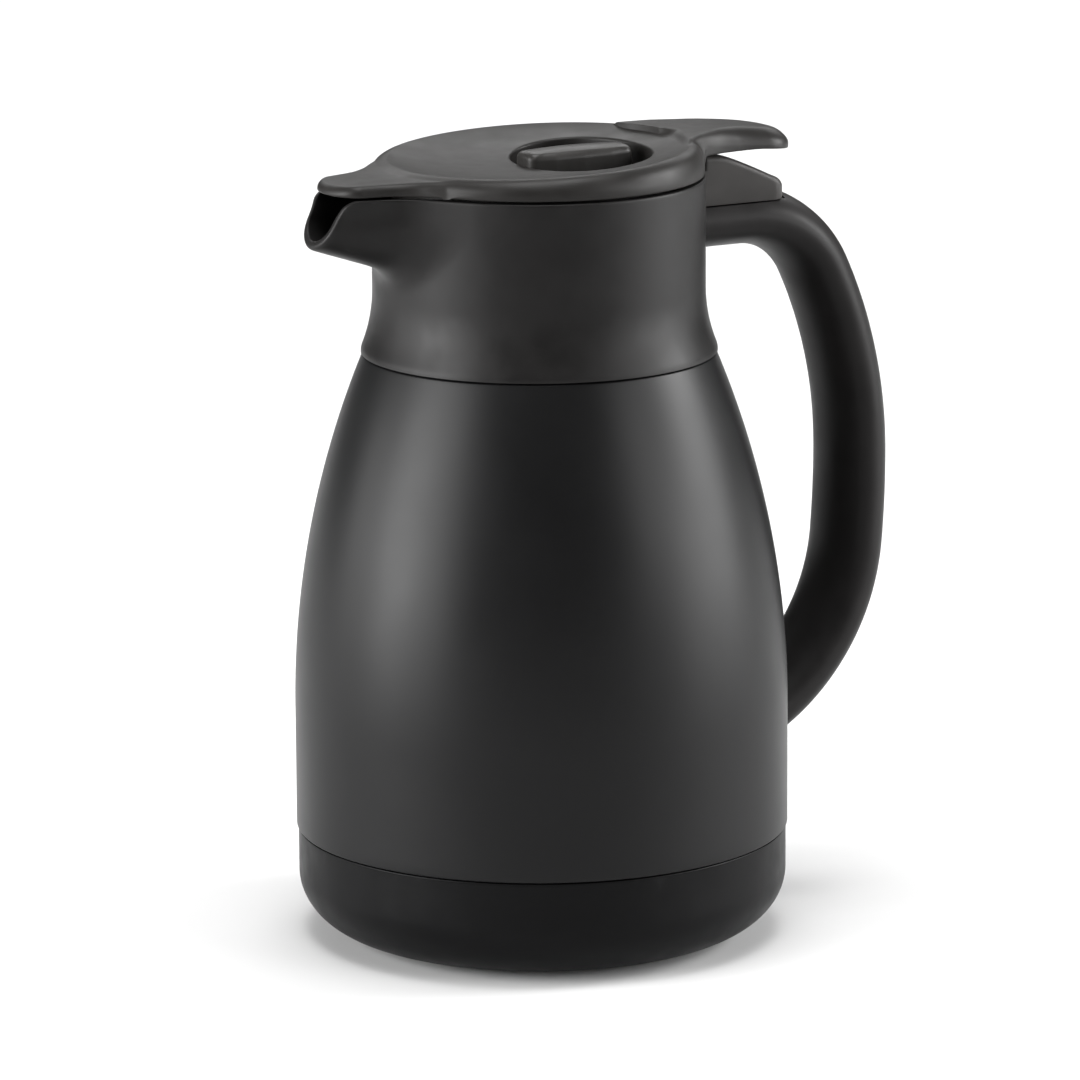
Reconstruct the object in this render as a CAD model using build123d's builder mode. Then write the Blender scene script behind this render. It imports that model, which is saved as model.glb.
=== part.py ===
from build123d import *
import os
from math import cos, radians, sin, sqrt

os.makedirs("parts", exist_ok=True)

# A vacuum carafe: steel double-walled flask, plastic collar with a pouring spout, hinged lid
# with a thumb lever, and a loop handle.
# Z is the vessel's axis, with z = 0 on the table. The handle is on +X and the spout on -X.
# All sizes are in millimetres.
# Steel body
BELLY_RADIUS = 70.2
BELLY_TOP = 66.0
SHOULDER_RADIUS = 50.0
SHOULDER_TOP = 167.4
SHELL_WALL = 0.6
SHELL_FOOT = 10.0
SHELL_FOOT_CORNER = 14.0
BOTTOM_LAND = 1.7
BOTTOM_FIT = 0.05
PIT_RADIUS = 6.0
PIT_RISE = 1.0
DISH_RADIUS = 44.0
DISH_RISE = 2.0
SOLDER_RADIUS = 3.5
NECK_RADIUS = 40.0
NECK_STEP = 6.6
NECK_HEIGHT = 21.0
NECK_FLARE = 2.5
BEAD_RISE = 10.0
BEAD_RADIUS = 0.9
VACUUM_GAP = 5.6
FLASK_LIFT = 7.4
FLASK_CORNER = 13.0
FLASK_SHOULDER_DROP = 9.4
FLASK_NECK_RISE = 9.0
FLASK_BEND = 6.0
MOUTH_INSET = 4.4
GETTER_RADIUS = 5.0
GETTER_THICKNESS = 2.0

# Base
CAP_STEP = 0.5
CAP_TOP = 30.7
CAP_SEAM = 0.3
CAP_WALL = 1.9
CAP_FIT = 0.1
CAP_CORNER_RADIAL = 20.0
CAP_CORNER_HEIGHT = 17.0
CAP_FLOOR = 0.8
CAP_RIM_ROUND = 0.5
CAP_RIB_COUNT = 6
CAP_RIB_WIDTH = 1.8
CAP_RIB_LENGTH = 30.0
PAD_RADIUS = 38.0
PAD_THICKNESS = 2.0
PAD_FIT = 0.15
PAD_CHAMFER = 0.4
PAD_GROOVES = (14.0, 22.0, 30.0)
GROOVE_WIDTH = 1.6
GROOVE_DEPTH = 0.7

# Collar
COLLAR_REACH = 7.0
COLLAR_FOOT_STEP = 0.4
COLLAR_SEAM = 0.6
COLLAR_FOOT_LAND = 3.0
COLLAR_FLARE_HEIGHT = 18.0
COLLAR_FLARE_CURVE = 44.0
COLLAR_RISE = 22.3
COLLAR_RIM = 2.6
COLLAR_WALL = 2.4
SLEEVE_WALL = 2.0
SLEEVE_LIFT = 2.5
NECK_FIT = 0.2
SEAL_THICKNESS = 1.4
SEAL_FIT = 0.2
LIP_THICKNESS = 1.6
LIP_OVERHANG = 3.8

# Spout: distance out from the collar's side, half width and underside drop below the collar's top
SPOUT_ROOT = (-5.0, 19.5, 25.9)
SPOUT_THROAT = (5.0, 15.0, 21.3)
SPOUT_MIDDLE = (13.0, 12.3, 18.5)
SPOUT_END = (33.0, 11.0, 11.5)
SPOUT_WALL = 2.0
SPOUT_MOUTH_REACH = 18.3
SPOUT_TIP_REACH = 28.2
SPOUT_TIP_DROP = 11.0
SPOUT_CHIN_SLANT = 3.5
SPOUT_CHIN_HEIGHT = 6.0

# Lid
SEAM_GAP = 0.6
LID_OVERLAP = 0.2
LID_SHOULDER = 4.2
LID_SHOULDER_HEIGHT = 5.1
LID_RIM_HEIGHT = 1.5
LID_DISH = 2.2
LID_WALL = 2.2
SKIRT_CLEARANCE = 3.0

# Tongue over the spout, and thumb lever
TONGUE_OVERHANG = 3.7
TONGUE_HALF_WIDTH = 11.9
TONGUE_WAIST = 13.6
TONGUE_ROOT = 22.0
TONGUE_TIP_LENGTH = 7.0
TONGUE_ROOT_HEIGHT = 5.2
TONGUE_WAIST_HEIGHT = 4.3
TONGUE_HEIGHT = 3.5
TONGUE_THICKNESS = 2.5
TONGUE_ROUND = 1.8
LEVER_OVERHANG = 8.6
LEVER_HALF_WIDTH = 12.3
LEVER_WAIST = 13.8
LEVER_ROOT = 21.6
LEVER_TIP_LENGTH = 10.0
LEVER_LIFT = 3.6
LEVER_ROOT_HEIGHT = 4.1
LEVER_STEP_HEIGHT = 5.5
LEVER_CREST = 6.6
LEVER_BACK_LENGTH = 11.0
LEVER_BACK_HEIGHT = 6.0
LEVER_NECK_HEIGHT = 3.9
LEVER_TIP_THICKNESS = 3.3
LEVER_LIP = 2.2
LEVER_LIP_LENGTH = 15.0
LEVER_ROUND = 2.0
LEVER_STEP = 0.4

# Hinge block, pin and spring
PIVOT_REACH = 4.0
PIVOT_RISE = 0.3
PIN_RADIUS = 1.5
PIN_FIT = 0.02
PIN_RUNNING_FIT = 0.05
PIN_RECESS = 0.3
PIN_CHAMFER = 0.3
LUG_RADIUS = 3.4
LUG_NEAR = -4.2
LUG_FAR = 7.9
BLOCK_HALF_WIDTH = 12.0
BLOCK_LENGTH = 21.4
BLOCK_REAR_HEIGHT = 4.2
BLOCK_KNEE_SETBACK = 3.8
BLOCK_KNEE_HEIGHT = 6.2
BLOCK_FLAT = 1.0
BLOCK_CORNER = 4.0
BLOCK_KNEE_ROUND = 4.0
BLOCK_REAR_ROUND = 2.0
BLOCK_SIDE_ROUND = 1.6
BLOCK_WALL = 2.4
BLOCK_STEP = 0.9
BLOCK_STEP_DROP = 0.8
POCKET_LENGTH = 13.6
POCKET_HALF_WIDTH = 8.4
POCKET_DEPTH = 4.2
BODY_GAP = 0.4
RAIL_HEIGHT = 5.2
RAIL_NECK_LENGTH = 2.0
RAIL_HEAD_LENGTH = 1.8
RAIL_NECK_WIDTH = 6.0
RAIL_HEAD_WIDTH = 10.0
RAIL_FIT = 0.3
SPRING_WIRE = 0.7
SPRING_RADIUS = 2.65
SPRING_LEG = 5.4
SPRING_GAP = 0.42
SPRING_SIDE_GAP = 0.3
SPRING_LEDGE_LENGTH = 3.2
SPRING_LEDGE_START = 4.6
LID_TRAVEL = 22.0

# Finger well, turn knob and lock
KNOB_X = 11.5
WELL_OFFSET = 1.9
WELL_HALF_LENGTH = 19.6
WELL_HALF_WIDTH = 28.0
WELL_DEPTH = 7.8
WELL_WALL = 1.8
KNOB_DISC_RADIUS = 16.8
KNOB_DISC_THICKNESS = 2.3
KNOB_DISC_ROUND = 0.6
BAR_LENGTH = 33.2
BAR_WIDTH = 13.0
BAR_CORNER = 4.0
BAR_HEIGHT = 8.0
BAR_TAPER = 1.5
BAR_ROUND = 1.8
SHAFT_RADIUS = 4.0
SHAFT_RUNNING_FIT = 0.05
SHAFT_SEAL_RADIUS = 0.7
SPINDLE_RADIUS = 3.0
SPINDLE_FLAT = 0.6
CAM_RADIUS = 12.0
CAM_THICKNESS = 2.2
CAM_GAP = 0.1
CAM_SCREW_LENGTH = 4.6
CAM_SCREW_HEAD_RADIUS = 4.2
CAM_SCREW_HEAD_HEIGHT = 1.4
BOLT_WIDTH = 7.0
BOLT_THICKNESS = 2.4
BOLT_GAP = 0.5
BOLT_START = 4.8
BOLT_TIP_CHAMFER = 0.8
BOLT_END_CLEARANCE = 0.4
BOLT_STROKE = 2.6
CAM_PIN_RADIUS = 1.2
CAM_PIN_START = 6.2
CAM_SLOT_CLEARANCE = 0.35
CAM_SLOT_OVERRUN = 8.0
SLIDE_CLEARANCE = 0.4
GUIDE_WALL = 1.4
GUIDE_SPACING = 44.0
GUIDE_LENGTH = 12.0
KEEPER_CLEARANCE = 0.8
KEEPER_GAP = 0.7
KEEPER_HEIGHT = 2.5
RETAINER_THICKNESS = 1.4
RETAINER_LENGTH = 29.0
RETAINER_WIDTH = 58.0
RETAINER_CORNER = 4.0
RETAINER_MARGIN = 4.0
RETAINER_SIDE_MARGIN = 10.0
BOSS_RADIUS = 2.6
SMALL_SCREW_RADIUS = 0.9
SMALL_SCREW_HEAD_RADIUS = 1.8
SMALL_SCREW_HEAD_HEIGHT = 1.0
SMALL_SCREW_GRIP = 2.8

# Stopper
PLUG_TAPER = 4.0
PLUG_HEIGHT = 11.3
PLUG_WALL = 1.8
PLUG_CORNER = 3.0
PLUG_PLATE = 2.7
PLUG_RIM_STEP = 2.4
PLUG_RIM_HEIGHT = 3.4
FOAM_GAP = 0.2
FOAM_RISE = 1.5
GASKET_THICKNESS = 2.0
GASKET_WIDTH = 8.0
GASKET_INSET = 3.4
GASKET_LIFT = 0.3
GASKET_ROUND = 0.6

# Handle
ARM_DROP = 15.8
ARM_LENGTH = 15.0
ARM_OVERLAP = 5.0
ARM_FLAT_RISE = 4.5
ARM_FLAT_MARGIN = 0.8
GRIP_HALF_DEPTH = 8.6
GRIP_HALF_WIDTH = 14.6
TOP_BEND = 30.0
TOP_BEND_ANGLE = 64.5
BACK_BEND = 129.0
BELLY_BEND = 290.0
BELLY_BEND_ANGLE = 5.0
FOOT_BEND = 61.5
FOOT_BEND_ANGLE = 75.0
TENON_LENGTH = 13.0
TENON_HALF_WIDTH = 7.0
TENON_DROP = 4.5
TENON_HEIGHT = 6.6
HANDLE_FIT = 0.2
SEAT_FIT = 0.05
BRACKET_DROP = 5.3
BRACKET_HEIGHT = 8.0
BRACKET_HALF_WIDTH = 8.5
BRACKET_WALL = 1.2
TAB_HALF_WIDTH = 6.0
TAB_LENGTH = 9.3
TAB_RISE = 3.2
TAB_THICKNESS = 2.0
SCREW_RADIUS = 1.5
SCREW_FIT = 0.05
SCREW_LENGTH = 8.0
SCREW_HEAD_RADIUS = 2.9
SCREW_HEAD_HEIGHT = 2.0
SCREW_HEAD_ROUND = 0.5
TOP_SCREW_OFFSET = 7.0
TOP_SCREW_DEPTH = 1.6
FOOT_SCREW_OFFSET = 5.3
FOOT_SCREW_DEPTH = 2.6

# Body sizes that follow
SHOULDER_SETBACK = BELLY_RADIUS - SHOULDER_RADIUS
SHOULDER_CURVE = ((SHOULDER_TOP - BELLY_TOP) ** 2 + SHOULDER_SETBACK ** 2) / (2 * SHOULDER_SETBACK)
CAP_RADIUS = BELLY_RADIUS - CAP_STEP
BASE_SEAM = CAP_TOP + CAP_SEAM
SHELL_FOOT_RADIUS = CAP_RADIUS - CAP_WALL - CAP_FIT
SHELL_BOTTOM_RADIUS = SHELL_FOOT_RADIUS - SHELL_FOOT_CORNER - BOTTOM_LAND
NECK_ROOT = SHOULDER_TOP + NECK_STEP
BEAD_HEIGHT = NECK_ROOT + BEAD_RISE
MOUTH_HEIGHT = NECK_ROOT + NECK_HEIGHT
MOUTH_RADIUS = NECK_RADIUS - MOUTH_INSET
SHELL_NECK_TOP = MOUTH_HEIGHT - SHELL_WALL
FLASK_FLOOR = SHELL_FOOT + FLASK_LIFT
FLASK_SHOULDER = SHOULDER_TOP - FLASK_SHOULDER_DROP

# Collar and spout sizes that follow
COLLAR_RADIUS = NECK_RADIUS + COLLAR_REACH
COLLAR_FOOT_RADIUS = SHOULDER_RADIUS + COLLAR_FOOT_STEP
COLLAR_FOOT = SHOULDER_TOP + COLLAR_SEAM
COLLAR_FLARE_TOP = COLLAR_FOOT + COLLAR_FLARE_HEIGHT
COLLAR_TOP = MOUTH_HEIGHT + COLLAR_RISE
COLLAR_BORE = COLLAR_RADIUS - COLLAR_RIM
SLEEVE_BORE = NECK_RADIUS + NECK_FIT
LIP_RADIUS = NECK_RADIUS - LIP_OVERHANG
SEAT_HEIGHT = MOUTH_HEIGHT + SEAL_THICKNESS + LIP_THICKNESS
SPOUT_MOUTH_TOP = COLLAR_RADIUS + SPOUT_MOUTH_REACH
SPOUT_TIP = COLLAR_RADIUS + SPOUT_TIP_REACH
SPOUT_TIP_HEIGHT = COLLAR_TOP - SPOUT_TIP_DROP

# Lid sizes that follow
LID_BOTTOM = COLLAR_TOP + SEAM_GAP
LID_RADIUS = COLLAR_RADIUS - LID_OVERLAP
LID_CREST_RADIUS = LID_RADIUS - LID_SHOULDER
LID_EDGE = LID_BOTTOM + LID_RIM_HEIGHT
LID_CREST = LID_EDGE + LID_SHOULDER_HEIGHT
LID_CENTRE = LID_CREST - LID_DISH
SKIRT_RADIUS = COLLAR_BORE - SKIRT_CLEARANCE
PLATE_BOTTOM = SEAT_HEIGHT + GASKET_LIFT + GASKET_THICKNESS
SKIRT_BOTTOM = PLATE_BOTTOM + PLUG_PLATE
TONGUE_TIP = SPOUT_MOUTH_TOP + TONGUE_OVERHANG
PIVOT_X = COLLAR_RADIUS + PIVOT_REACH
PIVOT_Z = COLLAR_TOP + PIVOT_RISE
BLOCK_REAR = PIVOT_X + BLOCK_LENGTH
LEVER_TIP = BLOCK_REAR + LEVER_OVERHANG
LEVER_UNDERSIDE = LID_BOTTOM + LEVER_LIFT
LEVER_STEP_RADIUS = LID_CREST_RADIUS - LEVER_STEP

# Handle and hinge block sizes that follow
ARM_HEIGHT = COLLAR_TOP - ARM_DROP
ARM_END = COLLAR_RADIUS + ARM_LENGTH
ARM_FLAT = ARM_HEIGHT + ARM_FLAT_RISE
ARM_FLAT_END = BLOCK_REAR + ARM_FLAT_MARGIN
TENON_END = COLLAR_RADIUS + TENON_LENGTH
TENON_BOTTOM = ARM_HEIGHT - TENON_DROP
TENON_TOP = TENON_BOTTOM + TENON_HEIGHT
TOP_SCREW_X = COLLAR_RADIUS + TOP_SCREW_OFFSET
TOP_SCREW_SEAT = TENON_BOTTOM - TOP_SCREW_DEPTH
FOOT_SCREW_X = BELLY_RADIUS + FOOT_SCREW_OFFSET
TAB_END = BELLY_RADIUS + TAB_LENGTH
# middle of the handle's last bend, and the height of the grip's middle over the lower screw
BACK_X = ARM_END + TOP_BEND * sin(radians(TOP_BEND_ANGLE)) + BACK_BEND * (1 - sin(radians(TOP_BEND_ANGLE)))
BACK_Z = ARM_HEIGHT - TOP_BEND + (TOP_BEND - BACK_BEND) * cos(radians(TOP_BEND_ANGLE))
FOOT_BEND_X = BACK_X - BELLY_BEND + (BELLY_BEND - FOOT_BEND) * cos(radians(BELLY_BEND_ANGLE))
FOOT_BEND_Z = BACK_Z - (BELLY_BEND - FOOT_BEND) * sin(radians(BELLY_BEND_ANGLE))
FOOT_HEIGHT = FOOT_BEND_Z - sqrt(FOOT_BEND ** 2 - (FOOT_SCREW_X - FOOT_BEND_X) ** 2)
BRACKET_BOTTOM = FOOT_HEIGHT - BRACKET_DROP
BRACKET_TOP = BRACKET_BOTTOM + BRACKET_HEIGHT
TAB_BOTTOM = BRACKET_BOTTOM + TAB_RISE
FOOT_SCREW_SEAT = BRACKET_BOTTOM - FOOT_SCREW_DEPTH
BLOCK_BOTTOM = ARM_FLAT + BODY_GAP
BLOCK_TOP = LEVER_UNDERSIDE - SEAM_GAP
BLOCK_REAR_TOP = BLOCK_BOTTOM + BLOCK_REAR_HEIGHT
BLOCK_KNEE_X = BLOCK_REAR - BLOCK_KNEE_SETBACK
BLOCK_KNEE_Z = BLOCK_BOTTOM + BLOCK_KNEE_HEIGHT
BLOCK_CREST_X = PIVOT_X - BLOCK_FLAT
BLOCK_FRONT_RADIUS = COLLAR_RADIUS + BODY_GAP
BLOCK_SLOPE = (BLOCK_TOP - BLOCK_KNEE_Z) / (BLOCK_KNEE_X - BLOCK_CREST_X)
POCKET_FLOOR = PIVOT_Z - POCKET_DEPTH
RAIL_TOP = BLOCK_BOTTOM + RAIL_HEIGHT

# Knob, lock and stopper sizes that follow
WELL_X = KNOB_X + WELL_OFFSET
WELL_FLOOR = LID_CENTRE - WELL_DEPTH
KNOB_DISC_BOTTOM = WELL_FLOOR + SLIDE_CLEARANCE
KNOB_DISC_TOP = KNOB_DISC_BOTTOM + KNOB_DISC_THICKNESS
BOLT_TOP = WELL_FLOOR - WELL_WALL - BOLT_GAP
BOLT_BOTTOM = BOLT_TOP - BOLT_THICKNESS
CAM_TOP = BOLT_BOTTOM - SLIDE_CLEARANCE
CAM_BOTTOM = CAM_TOP - CAM_THICKNESS
KEEPER_BOTTOM = BOLT_TOP + KEEPER_GAP
KEEPER_RADIUS = SKIRT_RADIUS + KEEPER_CLEARANCE
RETAINER_SPOTS = [
    (KNOB_X + dx * (RETAINER_LENGTH / 2 - RETAINER_MARGIN), dy * (RETAINER_WIDTH / 2 - RETAINER_SIDE_MARGIN))
    for dx in (-1, 1)
    for dy in (-1, 1)
]
GASKET_RADIUS = COLLAR_BORE - GASKET_INSET
GASKET_BORE = GASKET_RADIUS - GASKET_WIDTH
PLUG_TOP_RADIUS = GASKET_BORE + 1.0
PLUG_BOTTOM_RADIUS = PLUG_TOP_RADIUS - PLUG_TAPER
PLUG_BOTTOM = SEAT_HEIGHT + GASKET_LIFT - PLUG_HEIGHT
PLUG_RIM_RADIUS = SKIRT_RADIUS - PLUG_RIM_STEP
PLUG_RIM_TOP = SKIRT_BOTTOM + PLUG_RIM_HEIGHT
FOAM_TOP = SKIRT_BOTTOM + FOAM_RISE


def shoulder_radius(height, inset):
    """Radius of the body's long side curve at a height, moved in by inset."""
    curve = SHOULDER_CURVE - inset
    return BELLY_RADIUS - SHOULDER_CURVE + sqrt(curve ** 2 - (height - BELLY_TOP) ** 2)


def round_corner(section, distance, height, amount):
    """Fillet the corner of a section that is nearest to a radius and a height."""
    corner = section.vertices().sort_by_distance((distance, height, 0))[0]
    fillet(corner, amount)


def shell_section(inset):
    """Half section of the steel body, every wall moved in by inset."""
    foot = SHELL_FOOT + inset
    low = SHELL_FOOT_RADIUS - inset
    side = BELLY_RADIUS - inset
    step = BASE_SEAM + inset
    top = SHOULDER_TOP - 1.4 * inset
    neck = NECK_RADIUS - inset
    middle = (BELLY_TOP + top) / 2
    with BuildSketch(Plane.XZ) as section:
        with BuildLine():
            Polyline((0, foot), (low, foot), (low, step), (side, step), (side, BELLY_TOP))
            ThreePointArc(
                (side, BELLY_TOP),
                (shoulder_radius(middle, inset), middle),
                (shoulder_radius(top, inset), top),
            )
            Polyline(
                (shoulder_radius(top, inset), top),
                (NECK_RADIUS + NECK_FLARE - inset, NECK_ROOT - NECK_STEP / 2 - inset),
                (neck, NECK_ROOT - inset),
                (neck, MOUTH_HEIGHT + BEAD_RADIUS),
                (0, MOUTH_HEIGHT + BEAD_RADIUS),
                (0, foot),
            )
        make_face()
        round_corner(section, low, foot, SHELL_FOOT_CORNER - inset)
        round_corner(section, side, step, 0.6)
        round_corner(section, shoulder_radius(top, inset), top, 0.8)
        round_corner(section, neck, NECK_ROOT - inset, NECK_FLARE)
    return section.sketch


# Outer steel shell, open at the neck and at the foot
with BuildPart() as outer_shell:
    add(shell_section(0))
    revolve(axis=Axis.Z)
    with BuildSketch(Plane.XZ):
        with Locations((NECK_RADIUS, BEAD_HEIGHT)):
            Circle(BEAD_RADIUS)
    revolve(axis=Axis.Z)
    add(shell_section(SHELL_WALL))
    revolve(axis=Axis.Z, mode=Mode.SUBTRACT)
    with BuildSketch(Plane.XY.offset(SHELL_NECK_TOP)):
        Circle(NECK_RADIUS + BEAD_RADIUS)
    extrude(amount=SHELL_WALL + 2 * BEAD_RADIUS, mode=Mode.SUBTRACT)
    with BuildSketch(Plane.XY):
        Circle(SHELL_BOTTOM_RADIUS)
    extrude(amount=SHELL_FOOT + 2 * SHELL_WALL, mode=Mode.SUBTRACT)
outer_shell.part.label = "outer_shell"
export_step(outer_shell.part, "parts/outer_shell.step")

# Pressed disc that closes the shell's foot, with the pit where the flask was sealed
with BuildPart() as shell_bottom:
    with BuildSketch(Plane.XZ):
        with BuildLine():
            Polyline(
                (0, SHELL_FOOT + PIT_RISE),
                (PIT_RADIUS, SHELL_FOOT + PIT_RISE),
                (PIT_RADIUS, SHELL_FOOT + DISH_RISE),
                (DISH_RADIUS, SHELL_FOOT + DISH_RISE),
                (DISH_RADIUS + DISH_RISE, SHELL_FOOT),
                (SHELL_BOTTOM_RADIUS - BOTTOM_FIT, SHELL_FOOT),
                (SHELL_BOTTOM_RADIUS - BOTTOM_FIT, SHELL_FOOT + SHELL_WALL),
                (DISH_RADIUS + DISH_RISE + 0.4 * SHELL_WALL, SHELL_FOOT + SHELL_WALL),
                (DISH_RADIUS + 0.4 * SHELL_WALL, SHELL_FOOT + DISH_RISE + SHELL_WALL),
                (PIT_RADIUS - SHELL_WALL, SHELL_FOOT + DISH_RISE + SHELL_WALL),
                (PIT_RADIUS - SHELL_WALL, SHELL_FOOT + PIT_RISE + SHELL_WALL),
                (0, SHELL_FOOT + PIT_RISE + SHELL_WALL),
                close=True,
            )
        make_face()
    revolve(axis=Axis.Z)
shell_bottom.part.label = "shell_bottom"
export_step(shell_bottom.part, "parts/shell_bottom.step")

# Bead of solder that closed the evacuation hole
with BuildPart() as vacuum_seal:
    with BuildSketch(Plane.XY.offset(SHELL_FOOT)):
        Circle(SOLDER_RADIUS)
    extrude(amount=PIT_RISE)
    fillet(vacuum_seal.faces().sort_by(Axis.Z)[0].edges(), 0.6 * PIT_RISE)
vacuum_seal.part.label = "vacuum_seal"
export_step(vacuum_seal.part, "parts/vacuum_seal.step")


def flask_section(inset):
    """Half section of the inner flask, every wall moved in by inset."""
    depth = SHELL_WALL + VACUUM_GAP + inset
    side = BELLY_RADIUS - depth
    floor = FLASK_FLOOR + inset
    neck = MOUTH_RADIUS + SHELL_WALL - inset
    top = FLASK_SHOULDER - inset
    middle = (BELLY_TOP + top) / 2
    with BuildSketch(Plane.XZ) as section:
        with BuildLine():
            Polyline((0, floor), (side, floor), (side, BELLY_TOP))
            ThreePointArc(
                (side, BELLY_TOP),
                (shoulder_radius(middle, depth), middle),
                (shoulder_radius(top, depth), top),
            )
            Polyline(
                (shoulder_radius(top, depth), top),
                (neck, top + FLASK_NECK_RISE),
                (neck, MOUTH_HEIGHT),
                (0, MOUTH_HEIGHT),
                (0, floor),
            )
        make_face()
        round_corner(section, side, floor, FLASK_CORNER - inset)
        round_corner(section, shoulder_radius(top, depth), top, FLASK_BEND)
        round_corner(section, neck, top + FLASK_NECK_RISE, FLASK_BEND)
    return section.sketch


# Inner steel flask, which hangs by its rolled mouth on the shell's neck
with BuildPart() as inner_flask:
    add(flask_section(0))
    revolve(axis=Axis.Z)
    with BuildSketch(Plane.XY.offset(SHELL_NECK_TOP)):
        Circle(NECK_RADIUS)
    extrude(amount=SHELL_WALL)
    add(flask_section(SHELL_WALL))
    revolve(axis=Axis.Z, mode=Mode.SUBTRACT)
    mouth_edges = inner_flask.edges().filter_by(GeomType.CIRCLE).group_by(Axis.Z)[-1]
    mouth_edge = mouth_edges.sort_by(SortBy.RADIUS)[0]
    fillet(mouth_edge, 0.7 * SHELL_WALL)
inner_flask.part.label = "inner_flask"
export_step(inner_flask.part, "parts/inner_flask.step")

# Getter tablet welded under the flask, in the vacuum
with BuildPart() as getter:
    with BuildSketch(Plane.XY.offset(FLASK_FLOOR - GETTER_THICKNESS)):
        Circle(GETTER_RADIUS)
    extrude(amount=GETTER_THICKNESS)
getter.part.label = "getter"
export_step(getter.part, "parts/getter.step")


def cap_section(inset, top):
    """Half section of the base cap, moved in by inset."""
    centre_r = CAP_RADIUS - CAP_CORNER_RADIAL
    centre_z = CAP_FLOOR + CAP_CORNER_HEIGHT
    across = CAP_CORNER_RADIAL - inset
    down = CAP_CORNER_HEIGHT - inset
    with BuildSketch(Plane.XZ) as section:
        with BuildLine():
            Line((0, centre_z - down), (centre_r, centre_z - down))
            EllipticalCenterArc((centre_r, centre_z), across, down, start_angle=270, arc_size=90)
            Polyline((centre_r + across, centre_z), (centre_r + across, top), (0, top), (0, centre_z - down))
        make_face()
    return section.sketch


# Base cap, with a recess below for the foot pad and ribs that carry the shell
with BuildPart() as base_cap:
    add(cap_section(0, CAP_TOP))
    revolve(axis=Axis.Z)
    add(cap_section(CAP_WALL, CAP_TOP + CAP_SEAM))
    revolve(axis=Axis.Z, mode=Mode.SUBTRACT)
    with BuildSketch(Plane.XY.offset(CAP_FLOOR + CAP_WALL)):
        with PolarLocations(0, CAP_RIB_COUNT):
            with Locations((SHELL_BOTTOM_RADIUS - CAP_RIB_LENGTH / 2, 0)):
                Rectangle(CAP_RIB_LENGTH, CAP_RIB_WIDTH)
    extrude(amount=SHELL_FOOT - CAP_FLOOR - CAP_WALL)
    with BuildSketch(Plane.XY.offset(CAP_FLOOR)):
        Circle(PAD_RADIUS + PAD_FIT)
    extrude(amount=PAD_THICKNESS - CAP_FLOOR, mode=Mode.SUBTRACT)
    rim = base_cap.edges().filter_by(GeomType.CIRCLE).group_by(Axis.Z)[-1].sort_by(SortBy.RADIUS)[-1]
    fillet(rim, CAP_RIM_ROUND)
base_cap.part.label = "base_cap"
export_step(base_cap.part, "parts/base_cap.step")

# Non-slip foot pad with ring grooves, on which the carafe stands
with BuildPart() as foot_pad:
    with BuildSketch(Plane.XY):
        Circle(PAD_RADIUS)
    extrude(amount=PAD_THICKNESS)
    chamfer(foot_pad.faces().sort_by(Axis.Z)[0].edges(), PAD_CHAMFER)
    for radius in PAD_GROOVES:
        with BuildSketch(Plane.XY):
            Circle(radius + GROOVE_WIDTH / 2)
            Circle(radius - GROOVE_WIDTH / 2, mode=Mode.SUBTRACT)
        extrude(amount=GROOVE_DEPTH, mode=Mode.SUBTRACT)
foot_pad.part.label = "foot_pad"
export_step(foot_pad.part, "parts/foot_pad.step")


def spout_section(reach, half_width, bottom, top):
    """U-shaped section across the spout, a distance out from the collar's side."""
    out = COLLAR_RADIUS + reach
    with BuildSketch(Plane(origin=(-out, 0, 0), x_dir=(0, 1, 0), z_dir=(1, 0, 0))) as section:
        with BuildLine():
            ThreePointArc((-half_width, bottom + half_width), (0, bottom), (half_width, bottom + half_width))
            Polyline(
                (half_width, bottom + half_width),
                (half_width, top),
                (-half_width, top),
                (-half_width, bottom + half_width),
            )
        make_face()
    return section.sketch


SPOUT_STATIONS = (SPOUT_ROOT, SPOUT_THROAT, SPOUT_MIDDLE, SPOUT_END)


def collar_flare(height):
    """Outside radius of the collar's flared foot at a height."""
    rise = COLLAR_FLARE_TOP - height
    return COLLAR_RADIUS + COLLAR_FLARE_CURVE - sqrt(COLLAR_FLARE_CURVE ** 2 - rise ** 2)


FLARE_FOOT = COLLAR_FOOT + COLLAR_FOOT_LAND
FLARE_MIDDLE = (FLARE_FOOT + COLLAR_FLARE_TOP) / 2
SLEEVE_BOTTOM = NECK_ROOT + SLEEVE_LIFT
SLEEVE_TOP = MOUTH_HEIGHT - SLEEVE_WALL

# Solid spout, cut at its slanted mouth
with BuildPart() as spout:
    for reach, half_width, drop in SPOUT_STATIONS:
        add(spout_section(reach, half_width, COLLAR_TOP - drop, COLLAR_TOP))
    loft()
    with BuildSketch(Plane.XZ):
        with BuildLine():
            Polyline(
                (-SPOUT_MOUTH_TOP, COLLAR_TOP + 1),
                (-SPOUT_MOUTH_TOP, COLLAR_TOP),
                (-SPOUT_TIP, SPOUT_TIP_HEIGHT),
                (-SPOUT_TIP + SPOUT_CHIN_SLANT, SPOUT_TIP_HEIGHT - SPOUT_CHIN_HEIGHT),
                (-2 * COLLAR_RADIUS, SPOUT_TIP_HEIGHT - SPOUT_CHIN_HEIGHT),
                (-2 * COLLAR_RADIUS, COLLAR_TOP + 1),
                close=True,
            )
        make_face()
    extrude(amount=COLLAR_RADIUS, both=True, mode=Mode.SUBTRACT)

# Inside of the spout, which the pour runs through
with BuildPart() as channel:
    for reach, half_width, drop in SPOUT_STATIONS:
        floor = max(COLLAR_TOP - drop + SPOUT_WALL, SEAT_HEIGHT)
        add(spout_section(reach, half_width - SPOUT_WALL, floor, COLLAR_TOP + 1))
    loft()

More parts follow.
